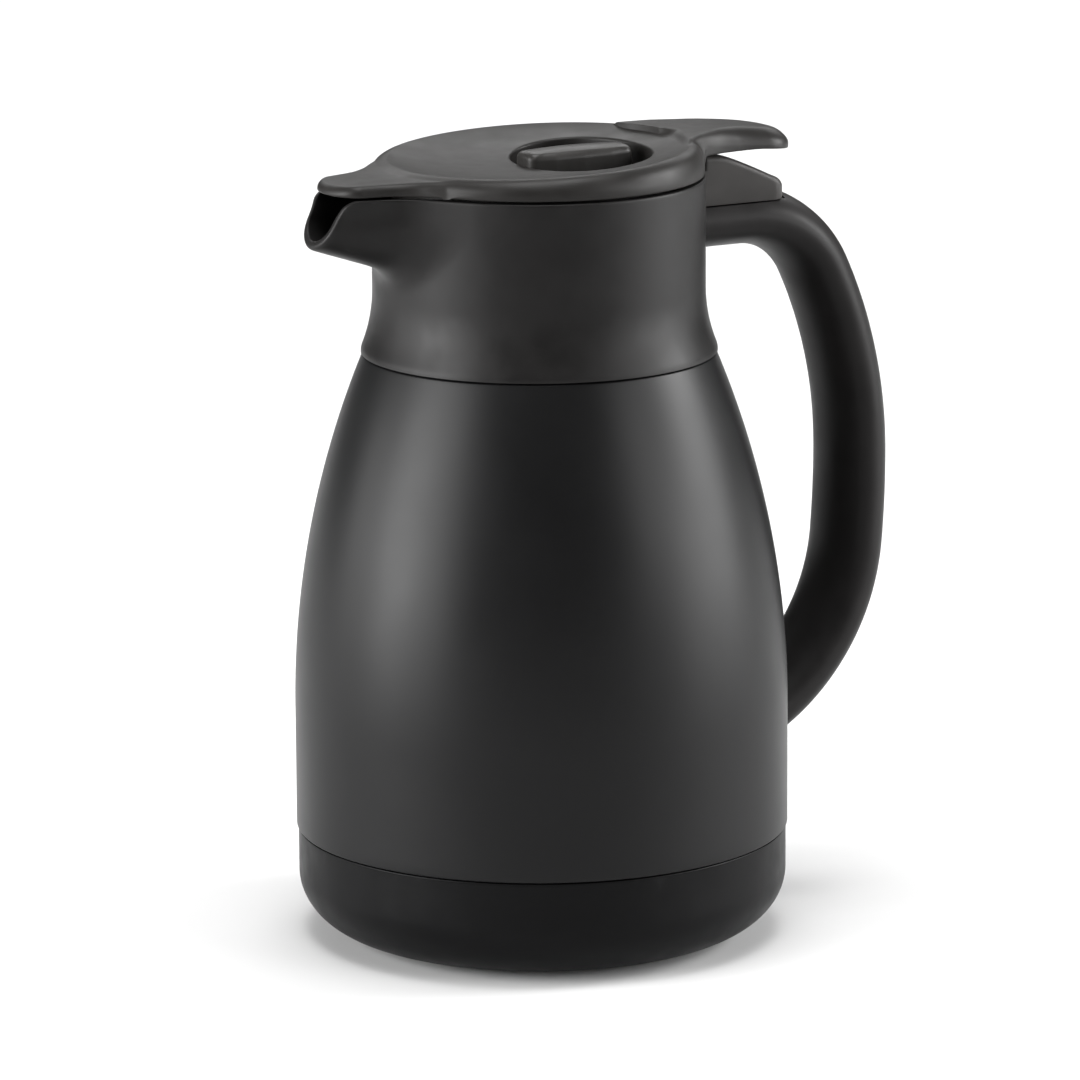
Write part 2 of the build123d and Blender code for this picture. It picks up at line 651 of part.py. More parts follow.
# Collar: outer skin with a flared foot, inner sleeve that snaps over the neck's bead, lip over
# the flask's mouth, spout, tenon for the handle and rail for the hinge block
with BuildPart() as collar:
    with BuildSketch(Plane.XZ):
        with BuildLine():
            Line((COLLAR_RADIUS, COLLAR_TOP), (COLLAR_RADIUS, COLLAR_FLARE_TOP))
            ThreePointArc(
                (COLLAR_RADIUS, COLLAR_FLARE_TOP),
                (collar_flare(FLARE_MIDDLE), FLARE_MIDDLE),
                (collar_flare(FLARE_FOOT), FLARE_FOOT),
            )
            Polyline(
                (collar_flare(FLARE_FOOT), FLARE_FOOT),
                (COLLAR_FOOT_RADIUS, COLLAR_FOOT + 1.0),
                (COLLAR_FOOT_RADIUS, COLLAR_FOOT),
                (COLLAR_FOOT_RADIUS - COLLAR_WALL, COLLAR_FOOT + 1.0),
            )
            Line(
                (COLLAR_FOOT_RADIUS - COLLAR_WALL, COLLAR_FOOT + 1.0),
                (collar_flare(FLARE_FOOT) - COLLAR_WALL, FLARE_FOOT),
            )
            ThreePointArc(
                (collar_flare(FLARE_FOOT) - COLLAR_WALL, FLARE_FOOT),
                (collar_flare(FLARE_MIDDLE) - COLLAR_WALL, FLARE_MIDDLE),
                (COLLAR_RADIUS - COLLAR_WALL, COLLAR_FLARE_TOP),
            )
            Polyline(
                (COLLAR_RADIUS - COLLAR_WALL, COLLAR_FLARE_TOP),
                (COLLAR_RADIUS - COLLAR_WALL, SLEEVE_TOP),
                (SLEEVE_BORE + SLEEVE_WALL, SLEEVE_TOP),
                (SLEEVE_BORE + SLEEVE_WALL, SLEEVE_BOTTOM),
                (SLEEVE_BORE, SLEEVE_BOTTOM),
                (SLEEVE_BORE, SEAT_HEIGHT - LIP_THICKNESS),
                (LIP_RADIUS, SEAT_HEIGHT - LIP_THICKNESS),
                (LIP_RADIUS, SEAT_HEIGHT),
                (COLLAR_BORE, SEAT_HEIGHT),
                (COLLAR_BORE, COLLAR_TOP),
                (COLLAR_RADIUS, COLLAR_TOP),
            )
        make_face()
    revolve(axis=Axis.Z)
    with BuildSketch(Plane.XZ):
        with Locations((NECK_RADIUS, BEAD_HEIGHT)):
            Circle(BEAD_RADIUS + NECK_FIT)
    revolve(axis=Axis.Z, mode=Mode.SUBTRACT)
    add(spout.part)
    add(channel.part, mode=Mode.SUBTRACT)
    with BuildSketch(Plane.XY.offset(SEAT_HEIGHT)):
        Circle(COLLAR_BORE)
    extrude(amount=COLLAR_TOP - SEAT_HEIGHT + 1, mode=Mode.SUBTRACT)
    # keepers that the lock bolts slide under
    with BuildSketch(Plane.XY.offset(KEEPER_BOTTOM)):
        with Locations((KNOB_X, 0)):
            Rectangle(BOLT_WIDTH + COLLAR_RIM, 2 * COLLAR_RADIUS)
        Circle(COLLAR_RADIUS - COLLAR_RIM / 2, mode=Mode.INTERSECT)
        Circle(KEEPER_RADIUS, mode=Mode.SUBTRACT)
    extrude(amount=KEEPER_HEIGHT)
    # tenon that the handle is screwed to
    with BuildSketch(Plane.XY.offset(TENON_BOTTOM)):
        with Locations(((COLLAR_RADIUS - COLLAR_RIM / 2 + TENON_END) / 2, 0)):
            Rectangle(TENON_END - COLLAR_RADIUS + COLLAR_RIM / 2, 2 * TENON_HALF_WIDTH)
    extrude(amount=TENON_TOP - TENON_BOTTOM)
    with BuildSketch(Plane.XY.offset(TENON_BOTTOM)):
        with Locations((TOP_SCREW_X, 0)):
            Circle(SCREW_RADIUS + SCREW_FIT)
    extrude(amount=TENON_TOP - TENON_BOTTOM, mode=Mode.SUBTRACT)
    # T-shaped rail that the hinge block slides down
    with BuildSketch(Plane.XY.offset(BLOCK_BOTTOM)):
        with Locations((COLLAR_RADIUS + RAIL_NECK_LENGTH, 0)):
            Rectangle(2 * RAIL_NECK_LENGTH, RAIL_NECK_WIDTH, align=(Align.MAX, Align.CENTER))
            Rectangle(RAIL_HEAD_LENGTH, RAIL_HEAD_WIDTH, align=(Align.MIN, Align.CENTER))
    extrude(amount=RAIL_HEIGHT)
collar.part.label = "collar"
export_step(collar.part, "parts/collar.step")

# Silicone ring between the flask's rolled mouth and the collar's lip
with BuildPart() as mouth_seal:
    with BuildSketch(Plane.XY.offset(MOUTH_HEIGHT)):
        Circle(NECK_RADIUS - SEAL_FIT)
        Circle(LIP_RADIUS, mode=Mode.SUBTRACT)
    extrude(amount=SEAL_THICKNESS)
mouth_seal.part.label = "mouth_seal"
export_step(mouth_seal.part, "parts/mouth_seal.step")

# Loop handle: an oval section swept through four tangent arcs
with BuildPart() as handle:
    with BuildLine(Plane.XZ) as grip_path:
        arm = Line((COLLAR_RADIUS - ARM_OVERLAP, ARM_HEIGHT), (ARM_END, ARM_HEIGHT))
        top_bend = JernArc(arm @ 1, (1, 0), TOP_BEND, -TOP_BEND_ANGLE)
        back_bend = JernArc(top_bend @ 1, top_bend % 1, BACK_BEND, TOP_BEND_ANGLE - 90)
        belly_bend = JernArc(back_bend @ 1, back_bend % 1, BELLY_BEND, -BELLY_BEND_ANGLE)
        JernArc(belly_bend @ 1, belly_bend % 1, FOOT_BEND, -FOOT_BEND_ANGLE)
    with BuildSketch(Plane(origin=arm @ 0, x_dir=(0, 1, 0), z_dir=(1, 0, 0))):
        Ellipse(GRIP_HALF_WIDTH, GRIP_HALF_DEPTH)
    sweep(path=grip_path.line)
    # seat on the collar and on the belly
    with BuildSketch(Plane.XY):
        Circle(COLLAR_RADIUS + SEAT_FIT)
    extrude(amount=COLLAR_TOP, mode=Mode.SUBTRACT)
    with BuildSketch(Plane.XY):
        Circle(BELLY_RADIUS + SEAT_FIT)
    extrude(amount=BRACKET_TOP + 2 * GRIP_HALF_WIDTH, mode=Mode.SUBTRACT)
    # flat on the arm for the hinge block
    with BuildSketch(Plane.XY.offset(ARM_FLAT)):
        with Locations((ARM_FLAT_END / 2, 0)):
            Rectangle(ARM_FLAT_END, 3 * GRIP_HALF_WIDTH)
    extrude(amount=GRIP_HALF_DEPTH, mode=Mode.SUBTRACT)
    # socket for the collar's tenon
    with BuildSketch(Plane.XY.offset(TENON_BOTTOM - HANDLE_FIT)):
        with Locations(((TENON_END + HANDLE_FIT) / 2, 0)):
            Rectangle(TENON_END + HANDLE_FIT, 2 * (TENON_HALF_WIDTH + HANDLE_FIT))
    extrude(amount=TENON_TOP - TENON_BOTTOM + 2 * HANDLE_FIT, mode=Mode.SUBTRACT)
    # socket for the steel bracket
    with BuildSketch(Plane.XY.offset(BRACKET_BOTTOM - HANDLE_FIT)):
        with Locations(((TAB_END + HANDLE_FIT) / 2, 0)):
            Rectangle(TAB_END + HANDLE_FIT, 2 * (BRACKET_HALF_WIDTH + HANDLE_FIT))
    extrude(amount=BRACKET_TOP - BRACKET_BOTTOM + 2 * HANDLE_FIT, mode=Mode.SUBTRACT)
    # screw holes from below, with a seat for each head
    for x, seat, end in (
        (TOP_SCREW_X, TOP_SCREW_SEAT, TENON_BOTTOM),
        (FOOT_SCREW_X, FOOT_SCREW_SEAT, BRACKET_BOTTOM),
    ):
        with BuildSketch(Plane.XY.offset(seat)):
            with Locations((x, 0)):
                Circle(SCREW_RADIUS + SCREW_FIT)
        extrude(amount=end - seat, mode=Mode.SUBTRACT)
        with BuildSketch(Plane.XY.offset(seat)):
            with Locations((x, 0)):
                Circle(SCREW_HEAD_RADIUS + HANDLE_FIT)
        extrude(amount=-GRIP_HALF_WIDTH, mode=Mode.SUBTRACT)
handle.part.label = "handle"
export_step(handle.part, "parts/handle.step")

# Steel bracket spot-welded to the shell, with a tab for the lower screw
with BuildPart() as handle_bracket:
    with BuildSketch(Plane.XY.offset(BRACKET_BOTTOM)):
        with Locations((BELLY_RADIUS, 0)):
            Rectangle(2 * BRACKET_HALF_WIDTH, 2 * BRACKET_HALF_WIDTH)
        Circle(BELLY_RADIUS + BRACKET_WALL, mode=Mode.INTERSECT)
        Circle(BELLY_RADIUS, mode=Mode.SUBTRACT)
    extrude(amount=BRACKET_TOP - BRACKET_BOTTOM)
    with BuildSketch(Plane.XY.offset(TAB_BOTTOM)):
        with Locations(((BELLY_RADIUS + BRACKET_WALL / 2 + TAB_END) / 2, 0)):
            Rectangle(TAB_END - BELLY_RADIUS - BRACKET_WALL / 2, 2 * TAB_HALF_WIDTH)
        with Locations((FOOT_SCREW_X, 0)):
            Circle(SCREW_RADIUS + SCREW_FIT, mode=Mode.SUBTRACT)
    extrude(amount=TAB_THICKNESS)
handle_bracket.part.label = "handle_bracket"
export_step(handle_bracket.part, "parts/handle_bracket.step")

# Two pan-head screws, one into the collar's tenon and one into the bracket's tab
with BuildPart() as handle_screws:
    for x, seat in ((TOP_SCREW_X, TOP_SCREW_SEAT), (FOOT_SCREW_X, FOOT_SCREW_SEAT)):
        with BuildSketch(Plane.XY.offset(seat)):
            with Locations((x, 0)):
                Circle(SCREW_RADIUS)
        extrude(amount=SCREW_LENGTH)
        with BuildSketch(Plane.XY.offset(seat)):
            with Locations((x, 0)):
                Circle(SCREW_HEAD_RADIUS)
        extrude(amount=-SCREW_HEAD_HEIGHT)
        head_end = seat - SCREW_HEAD_HEIGHT
        head_edge = handle_screws.edges().filter_by_position(Axis.Z, head_end - 0.01, head_end + 0.01)
        fillet(head_edge, SCREW_HEAD_ROUND)
handle_screws.part.label = "handle_screws"
export_step(handle_screws.part, "parts/handle_screws.step")

# Hinge block: a wedge that slides down the collar's rail and carries the pin
CORE_START = PIVOT_X + POCKET_LENGTH / 2 + BLOCK_WALL
with BuildPart() as hinge_block:
    with BuildSketch(Plane.XZ) as wedge:
        with BuildLine():
            Polyline(
                (COLLAR_BORE, BLOCK_BOTTOM),
                (BLOCK_REAR, BLOCK_BOTTOM),
                (BLOCK_REAR, BLOCK_REAR_TOP),
                (BLOCK_KNEE_X, BLOCK_KNEE_Z),
                (BLOCK_CREST_X, BLOCK_TOP),
                (COLLAR_BORE, BLOCK_TOP),
                close=True,
            )
        make_face()
        round_corner(wedge, BLOCK_REAR, BLOCK_REAR_TOP, BLOCK_REAR_ROUND)
        round_corner(wedge, BLOCK_KNEE_X, BLOCK_KNEE_Z, BLOCK_KNEE_ROUND)
    extrude(amount=BLOCK_HALF_WIDTH, both=True)
    rear = hinge_block.edges().filter_by(Axis.Z).sort_by(Axis.X)[-2:]
    fillet(rear, BLOCK_CORNER)
    slope = hinge_block.edges().filter_by(lambda edge: abs(edge.center().Y) > BLOCK_HALF_WIDTH - 0.01)
    fillet(slope.filter_by(lambda edge: edge.center().Z > BLOCK_KNEE_Z - 0.5), BLOCK_SIDE_ROUND)
    with BuildSketch(Plane.XY.offset(BLOCK_BOTTOM)):
        Circle(BLOCK_FRONT_RADIUS)
    extrude(amount=BLOCK_TOP - BLOCK_BOTTOM, mode=Mode.SUBTRACT)
    with BuildSketch(Plane.XY.offset(COLLAR_TOP - BLOCK_STEP_DROP)):
        Circle(BLOCK_FRONT_RADIUS + BLOCK_STEP)
    extrude(amount=BLOCK_TOP - COLLAR_TOP + BLOCK_STEP_DROP, mode=Mode.SUBTRACT)
    # pocket for the lid's lug and the spring
    with BuildSketch(Plane.XY.offset(POCKET_FLOOR)):
        with Locations((PIVOT_X, 0)):
            Rectangle(POCKET_LENGTH, 2 * POCKET_HALF_WIDTH)
    extrude(amount=BLOCK_TOP - POCKET_FLOOR, mode=Mode.SUBTRACT)
    # ledge for the spring's fixed leg
    with BuildSketch(Plane.XY.offset(POCKET_FLOOR)):
        with Locations((PIVOT_X + POCKET_LENGTH / 2, -POCKET_HALF_WIDTH)):
            Rectangle(
                SPRING_LEDGE_LENGTH,
                POCKET_HALF_WIDTH - SPRING_LEDGE_START,
                align=(Align.MAX, Align.MIN),
            )
    extrude(amount=PIVOT_Z - SPRING_RADIUS - SPRING_WIRE / 2 - PIN_RUNNING_FIT - POCKET_FLOOR)
    # T-slot for the collar's rail
    with BuildSketch(Plane.XY.offset(BLOCK_BOTTOM)):
        with Locations((COLLAR_RADIUS + RAIL_NECK_LENGTH, 0)):
            Rectangle(2 * RAIL_NECK_LENGTH, RAIL_NECK_WIDTH + 2 * RAIL_FIT, align=(Align.MAX, Align.CENTER))
        with Locations((COLLAR_RADIUS + RAIL_NECK_LENGTH - RAIL_FIT, 0)):
            Rectangle(
                RAIL_HEAD_LENGTH + 2 * RAIL_FIT,
                RAIL_HEAD_WIDTH + 2 * RAIL_FIT,
                align=(Align.MIN, Align.CENTER),
            )
    extrude(amount=RAIL_TOP + BODY_GAP - BLOCK_BOTTOM, mode=Mode.SUBTRACT)
    # cored underside
    with BuildSketch(Plane.XZ):
        with BuildLine():
            Polyline(
                (CORE_START, BLOCK_BOTTOM),
                (BLOCK_REAR - BLOCK_WALL, BLOCK_BOTTOM),
                (BLOCK_REAR - BLOCK_WALL, BLOCK_REAR_TOP - BLOCK_WALL / 2),
                (CORE_START, BLOCK_KNEE_Z + (BLOCK_KNEE_X - CORE_START) * BLOCK_SLOPE - BLOCK_WALL),
                close=True,
            )
        make_face()
    extrude(amount=BLOCK_HALF_WIDTH - BLOCK_WALL, both=True, mode=Mode.SUBTRACT)
    # pin hole, blind on the near side
    with BuildSketch(Plane(origin=(PIVOT_X, BLOCK_HALF_WIDTH, PIVOT_Z), x_dir=(1, 0, 0), z_dir=(0, -1, 0))):
        Circle(PIN_RADIUS + PIN_FIT)
    extrude(amount=2 * BLOCK_HALF_WIDTH - BLOCK_WALL / 2, mode=Mode.SUBTRACT)
hinge_block.part.label = "hinge_block"
export_step(hinge_block.part, "parts/hinge_block.step")

# Steel hinge pin, pressed in from the far side
with BuildPart() as hinge_pin:
    pin_end = BLOCK_HALF_WIDTH - PIN_RECESS
    with BuildSketch(Plane(origin=(PIVOT_X, pin_end, PIVOT_Z), x_dir=(1, 0, 0), z_dir=(0, -1, 0))):
        Circle(PIN_RADIUS)
    extrude(amount=2 * BLOCK_HALF_WIDTH - BLOCK_WALL / 2 - PIN_RECESS)
    chamfer(hinge_pin.edges().filter_by(GeomType.CIRCLE), PIN_CHAMFER)
hinge_pin.part.label = "hinge_pin"
export_step(hinge_pin.part, "parts/hinge_pin.step")

# Torsion spring round the pin; its fixed leg lies on the block's ledge, its free leg under the lever
SPRING_START = LUG_NEAR - SPRING_SIDE_GAP - SPRING_WIRE / 2
SPRING_PITCH = SPRING_WIRE + SPRING_GAP
SPRING_TURNS = 2.5 + LID_TRAVEL / 360
with BuildPart() as return_spring:
    with BuildLine() as coil:
        Helix(
            SPRING_PITCH,
            SPRING_PITCH * SPRING_TURNS,
            SPRING_RADIUS,
            center=(PIVOT_X, SPRING_START, PIVOT_Z),
            direction=(0, -1, 0),
            lefthand=True,
        )
    with BuildSketch(Plane(origin=coil.line @ 0, z_dir=coil.line % 0)):
        Circle(SPRING_WIRE / 2)
    sweep(path=coil.line, is_frenet=True)
    with BuildSketch(Plane(origin=coil.line @ 0, z_dir=coil.line % 0)):
        Circle(SPRING_WIRE / 2)
    extrude(amount=-SPRING_LEG)
    with BuildSketch(Plane(origin=coil.line @ 1, z_dir=coil.line % 1)):
        Circle(SPRING_WIRE / 2)
    extrude(amount=SPRING_LEG)
return_spring.part.label = "return_spring"
export_step(return_spring.part, "parts/return_spring.step")


def rounded_blade(tip, tip_length, half_width, waist_x, waist, root):
    """Plan outline of a tongue that widens towards the lid and has an elliptical tip."""
    root_x = sqrt(LEVER_STEP_RADIUS ** 2 - root ** 2)
    with BuildSketch() as outline:
        with BuildLine():
            Spline(
                (root_x, root),
                (waist_x, waist),
                (tip - tip_length, half_width),
                tangents=((0.75, -0.65), (1, 0)),
            )
            EllipticalCenterArc((tip - tip_length, 0), tip_length, half_width, start_angle=0, arc_size=90)
            Line((tip, 0), (0, 0))
            Polyline((0, 0), (0, root), (root_x, root))
        make_face()
        mirror(about=Plane.XZ)
    return outline.sketch


BLADE_START = LID_CREST_RADIUS - LID_SHOULDER
TONGUE_WAIST_X = LID_RADIUS + LID_SHOULDER
LEVER_START = LEVER_STEP_RADIUS - 2 * LID_SHOULDER
LEVER_WAIST_X = PIVOT_X - BLOCK_FLAT

# Tongue over the spout, drawn towards +X and mirrored into place
with BuildPart() as tongue:
    with BuildSketch(Plane.XY.offset(LID_BOTTOM)):
        blade_side = (TONGUE_HALF_WIDTH, TONGUE_WAIST_X, TONGUE_WAIST, TONGUE_ROOT)
        add(rounded_blade(TONGUE_TIP, TONGUE_TIP_LENGTH, *blade_side))
    extrude(amount=LID_CREST - LID_BOTTOM + TONGUE_ROUND)
    with BuildSketch(Plane.XZ):
        with BuildLine():
            Spline(
                (BLADE_START, LID_CREST - 0.2),
                (LID_RADIUS, LID_BOTTOM + TONGUE_ROOT_HEIGHT),
                (TONGUE_WAIST_X, LID_BOTTOM + TONGUE_WAIST_HEIGHT),
                (TONGUE_TIP - TONGUE_TIP_LENGTH, LID_BOTTOM + TONGUE_HEIGHT),
                (TONGUE_TIP + 1, LID_BOTTOM + TONGUE_THICKNESS),
                tangents=((1, -0.05), (1, -0.3)),
            )
            Polyline(
                (TONGUE_TIP + 1, LID_BOTTOM + TONGUE_THICKNESS),
                (TONGUE_TIP + 1, LID_BOTTOM),
                (BLADE_START, LID_BOTTOM),
                (BLADE_START, LID_CREST - 0.2),
            )
        make_face()
    extrude(amount=LID_RADIUS, both=True, mode=Mode.INTERSECT)
    top_face = tongue.faces().filter_by(lambda face: face.normal_at().Z > 0.5)
    fillet([edge for edge in top_face.edges() if edge.center().X > BLADE_START + 1], TONGUE_ROUND)

# Thumb lever over the hinge block
with BuildPart() as lever:
    with BuildSketch(Plane.XY.offset(LEVER_UNDERSIDE - LEVER_LIP)):
        blade_side = (LEVER_HALF_WIDTH, LEVER_WAIST_X, LEVER_WAIST, LEVER_ROOT)
        add(rounded_blade(LEVER_TIP, LEVER_TIP_LENGTH, *blade_side))
        Circle(LEVER_STEP_RADIUS, mode=Mode.SUBTRACT)
    extrude(amount=LEVER_LIP + LEVER_CREST + LEVER_ROUND)
    with BuildSketch(Plane.XZ):
        with BuildLine():
            Spline(
                (LEVER_START, LEVER_UNDERSIDE + LEVER_ROOT_HEIGHT),
                (LEVER_STEP_RADIUS + LEVER_STEP, LEVER_UNDERSIDE + LEVER_STEP_HEIGHT),
                (PIVOT_X + BLOCK_FLAT, LEVER_UNDERSIDE + LEVER_CREST),
                (PIVOT_X + LEVER_BACK_LENGTH, LEVER_UNDERSIDE + LEVER_BACK_HEIGHT),
                (LEVER_TIP - LEVER_TIP_LENGTH / 2, LEVER_UNDERSIDE + LEVER_NECK_HEIGHT),
                (LEVER_TIP + 1, LEVER_UNDERSIDE - LEVER_LIP + LEVER_TIP_THICKNESS),
                tangents=((1, 0.12), (0.8, -0.6)),
            )
            Polyline(
                (LEVER_TIP + 1, LEVER_UNDERSIDE - LEVER_LIP + LEVER_TIP_THICKNESS),
                (LEVER_TIP + 1, LEVER_UNDERSIDE - LEVER_LIP),
                (LEVER_TIP - LEVER_LIP_LENGTH, LEVER_UNDERSIDE),
                (LEVER_START, LEVER_UNDERSIDE),
                (LEVER_START, LEVER_UNDERSIDE + LEVER_ROOT_HEIGHT),
            )
        make_face()
    extrude(amount=LID_RADIUS, both=True, mode=Mode.INTERSECT)
    top_face = lever.faces().filter_by(lambda face: face.normal_at().Z > 0.5)
    outer_edges = [edge for edge in top_face.edges() if edge.center().X > LEVER_STEP_RADIUS + LEVER_ROUND]
    fillet(outer_edges, LEVER_ROUND)

# Lid cover: dished round top with spout tongue, thumb lever, finger well, skirt and hinge lug
with BuildPart() as lid_cover:
    with BuildSketch(Plane.XZ):
        with BuildLine():
            ThreePointArc(
                (0, LID_CENTRE),
                (LID_CREST_RADIUS / 2, LID_CENTRE + (LID_CREST - LID_CENTRE) / 4),
                (LID_CREST_RADIUS, LID_CREST),
            )
            EllipticalCenterArc(
                (LID_CREST_RADIUS, LID_EDGE),
                LID_RADIUS - LID_CREST_RADIUS,
                LID_CREST - LID_EDGE,
                start_angle=0,
                arc_size=90,
            )
            Polyline(
                (LID_RADIUS, LID_EDGE),
                (LID_RADIUS, LID_BOTTOM),
                (SKIRT_RADIUS, LID_BOTTOM),
                (SKIRT_RADIUS, SKIRT_BOTTOM),
                (SKIRT_RADIUS - LID_WALL, SKIRT_BOTTOM),
                (SKIRT_RADIUS - LID_WALL, LID_CENTRE - LID_WALL),
                (0, LID_CENTRE - LID_WALL),
                (0, LID_CENTRE),
            )
        make_face()
    revolve(axis=Axis.Z)
    add(mirror(tongue.part, about=Plane.YZ, mode=Mode.PRIVATE))
    add(lever.part)
    # hinge lug under the lever
    with BuildSketch(Plane(origin=(PIVOT_X, LUG_NEAR, PIVOT_Z), x_dir=(1, 0, 0), z_dir=(0, -1, 0))):
        Circle(LUG_RADIUS)
        Rectangle(2 * LUG_RADIUS, LEVER_UNDERSIDE + 1 - PIVOT_Z, align=(Align.CENTER, Align.MIN))
    extrude(amount=LUG_NEAR - LUG_FAR)
    with BuildSketch(Plane(origin=(PIVOT_X, LUG_NEAR, PIVOT_Z), x_dir=(1, 0, 0), z_dir=(0, -1, 0))):
        Circle(PIN_RADIUS + PIN_RUNNING_FIT)
    extrude(amount=LUG_NEAR - LUG_FAR, mode=Mode.SUBTRACT)
    # finger well: an oval bowl with a bore for the knob's shaft
    with BuildSketch(Plane.XY.offset(WELL_FLOOR - WELL_WALL)):
        with Locations((WELL_X, 0)):
            Ellipse(WELL_HALF_LENGTH + WELL_WALL, WELL_HALF_WIDTH + WELL_WALL)
        Circle(SKIRT_RADIUS - LID_WALL / 2, mode=Mode.INTERSECT)
    extrude(amount=WELL_DEPTH - LID_WALL / 2 + WELL_WALL)
    with BuildSketch(Plane.XY.offset(WELL_FLOOR)):
        with Locations((WELL_X, 0)):
            Ellipse(WELL_HALF_LENGTH, WELL_HALF_WIDTH)
    extrude(amount=LID_CREST - WELL_FLOOR, mode=Mode.SUBTRACT)
    with BuildSketch(Plane.XY.offset(WELL_FLOOR - WELL_WALL)):
        with Locations((KNOB_X, 0)):
            Circle(SHAFT_RADIUS + SHAFT_RUNNING_FIT)
    extrude(amount=WELL_WALL, mode=Mode.SUBTRACT)
    # guides for the lock bolts
    with BuildSketch(Plane.XY.offset(BOLT_BOTTOM)):
        with Locations((KNOB_X, 0)):
            with GridLocations(BOLT_WIDTH + 2 * SLIDE_CLEARANCE + GUIDE_WALL, GUIDE_SPACING, 2, 2):
                Rectangle(GUIDE_WALL, GUIDE_LENGTH)
    extrude(amount=WELL_FLOOR - WELL_WALL - BOLT_BOTTOM)
    # bosses for the retainer's screws
    with BuildSketch(Plane.XY.offset(CAM_TOP)):
        with Locations(*RETAINER_SPOTS):
            Circle(BOSS_RADIUS)
    extrude(amount=WELL_FLOOR - WELL_WALL - CAM_TOP)
    with BuildSketch(Plane.XY.offset(CAM_TOP)):
        with Locations(*RETAINER_SPOTS):
            Circle(SMALL_SCREW_RADIUS + SCREW_FIT)
    extrude(amount=SMALL_SCREW_GRIP + SLIDE_CLEARANCE / 2, mode=Mode.SUBTRACT)
    # windows in the skirt for the bolts
    with BuildSketch(Plane.XY.offset(BOLT_BOTTOM - SLIDE_CLEARANCE)):
        with Locations((KNOB_X, 0)):
            Rectangle(BOLT_WIDTH + 2 * SLIDE_CLEARANCE, 2 * SKIRT_RADIUS)
        with Locations((KNOB_X, 0)):
            Rectangle(BOLT_WIDTH + 4 * SLIDE_CLEARANCE, GUIDE_SPACING + GUIDE_LENGTH, mode=Mode.SUBTRACT)
    extrude(amount=BOLT_THICKNESS + 2 * SLIDE_CLEARANCE, mode=Mode.SUBTRACT)
lid_cover.part.label = "lid_cover"
export_step(lid_cover.part, "parts/lid_cover.step")

# Stopper: a tapered cup under the lid, with a rim that the lid's skirt is glued to
with BuildPart() as plug_body:
    with BuildSketch(Plane.XZ) as stopper:
        with BuildLine():
            Polyline(
                (0, PLUG_BOTTOM),
                (PLUG_BOTTOM_RADIUS, PLUG_BOTTOM),
                (PLUG_TOP_RADIUS, SEAT_HEIGHT + GASKET_LIFT),
                (GASKET_BORE, SEAT_HEIGHT + GASKET_LIFT),
                (GASKET_BORE, PLATE_BOTTOM),
                (SKIRT_RADIUS, PLATE_BOTTOM),
                (SKIRT_RADIUS, SKIRT_BOTTOM),
                (PLUG_RIM_RADIUS, SKIRT_BOTTOM),
                (PLUG_RIM_RADIUS, PLUG_RIM_TOP),
                (PLUG_RIM_RADIUS - PLUG_WALL, PLUG_RIM_TOP),
                (PLUG_RIM_RADIUS - PLUG_WALL, SKIRT_BOTTOM),
                (GASKET_BORE - PLUG_WALL, SKIRT_BOTTOM),
                (GASKET_BORE - PLUG_WALL, SEAT_HEIGHT),
                (PLUG_BOTTOM_RADIUS - PLUG_WALL, PLUG_BOTTOM + PLUG_WALL),
                (0, PLUG_BOTTOM + PLUG_WALL),
                close=True,
            )
        make_face()
        round_corner(stopper, PLUG_BOTTOM_RADIUS, PLUG_BOTTOM, PLUG_CORNER)
        round_corner(stopper, PLUG_BOTTOM_RADIUS - PLUG_WALL, PLUG_BOTTOM + PLUG_WALL, PLUG_CORNER / 2)
    revolve(axis=Axis.Z)
plug_body.part.label = "plug_body"
export_step(plug_body.part, "parts/plug_body.step")

# Silicone gasket that the stopper presses on the collar's lip
with BuildPart() as plug_gasket:
    with BuildSketch(Plane.XY.offset(SEAT_HEIGHT + GASKET_LIFT)):
        Circle(GASKET_RADIUS)
        Circle(GASKET_BORE, mode=Mode.SUBTRACT)
    extrude(amount=GASKET_THICKNESS)
    fillet(plug_gasket.edges().filter_by(GeomType.CIRCLE).sort_by(SortBy.RADIUS)[-2:], GASKET_ROUND)
plug_gasket.part.label = "plug_gasket"
export_step(plug_gasket.part, "parts/plug_gasket.step")

# Foam puck that fills the stopper
with BuildPart() as plug_insulation:
    with BuildSketch(Plane.XZ):
        with BuildLine():
            Polyline(
                (0, PLUG_BOTTOM + PLUG_WALL),
                (PLUG_BOTTOM_RADIUS - PLUG_WALL - PLUG_CORNER, PLUG_BOTTOM + PLUG_WALL),
                (PLUG_BOTTOM_RADIUS - PLUG_WALL - FOAM_GAP, PLUG_BOTTOM + PLUG_WALL + PLUG_CORNER),
                (GASKET_BORE - PLUG_WALL - FOAM_GAP, SEAT_HEIGHT),
                (GASKET_BORE - PLUG_WALL - FOAM_GAP, FOAM_TOP),
                (0, FOAM_TOP),
                close=True,
            )
        make_face()
    revolve(axis=Axis.Z)
plug_insulation.part.label = "plug_insulation"
export_step(plug_insulation.part, "parts/plug_insulation.step")

# Plate that holds the bolts up against the lid
with BuildPart() as bolt_retainer:
    with BuildSketch(Plane.XY.offset(CAM_TOP)):
        with Locations((KNOB_X, 0)):
            RectangleRounded(RETAINER_LENGTH, RETAINER_WIDTH, RETAINER_CORNER)
            Circle(CAM_RADIUS + GUIDE_WALL, mode=Mode.SUBTRACT)
        with Locations(*RETAINER_SPOTS):
            Circle(SMALL_SCREW_RADIUS + SCREW_FIT, mode=Mode.SUBTRACT)
    extrude(amount=-RETAINER_THICKNESS)
bolt_retainer.part.label = "bolt_retainer"
export_step(bolt_retainer.part, "parts/bolt_retainer.step")

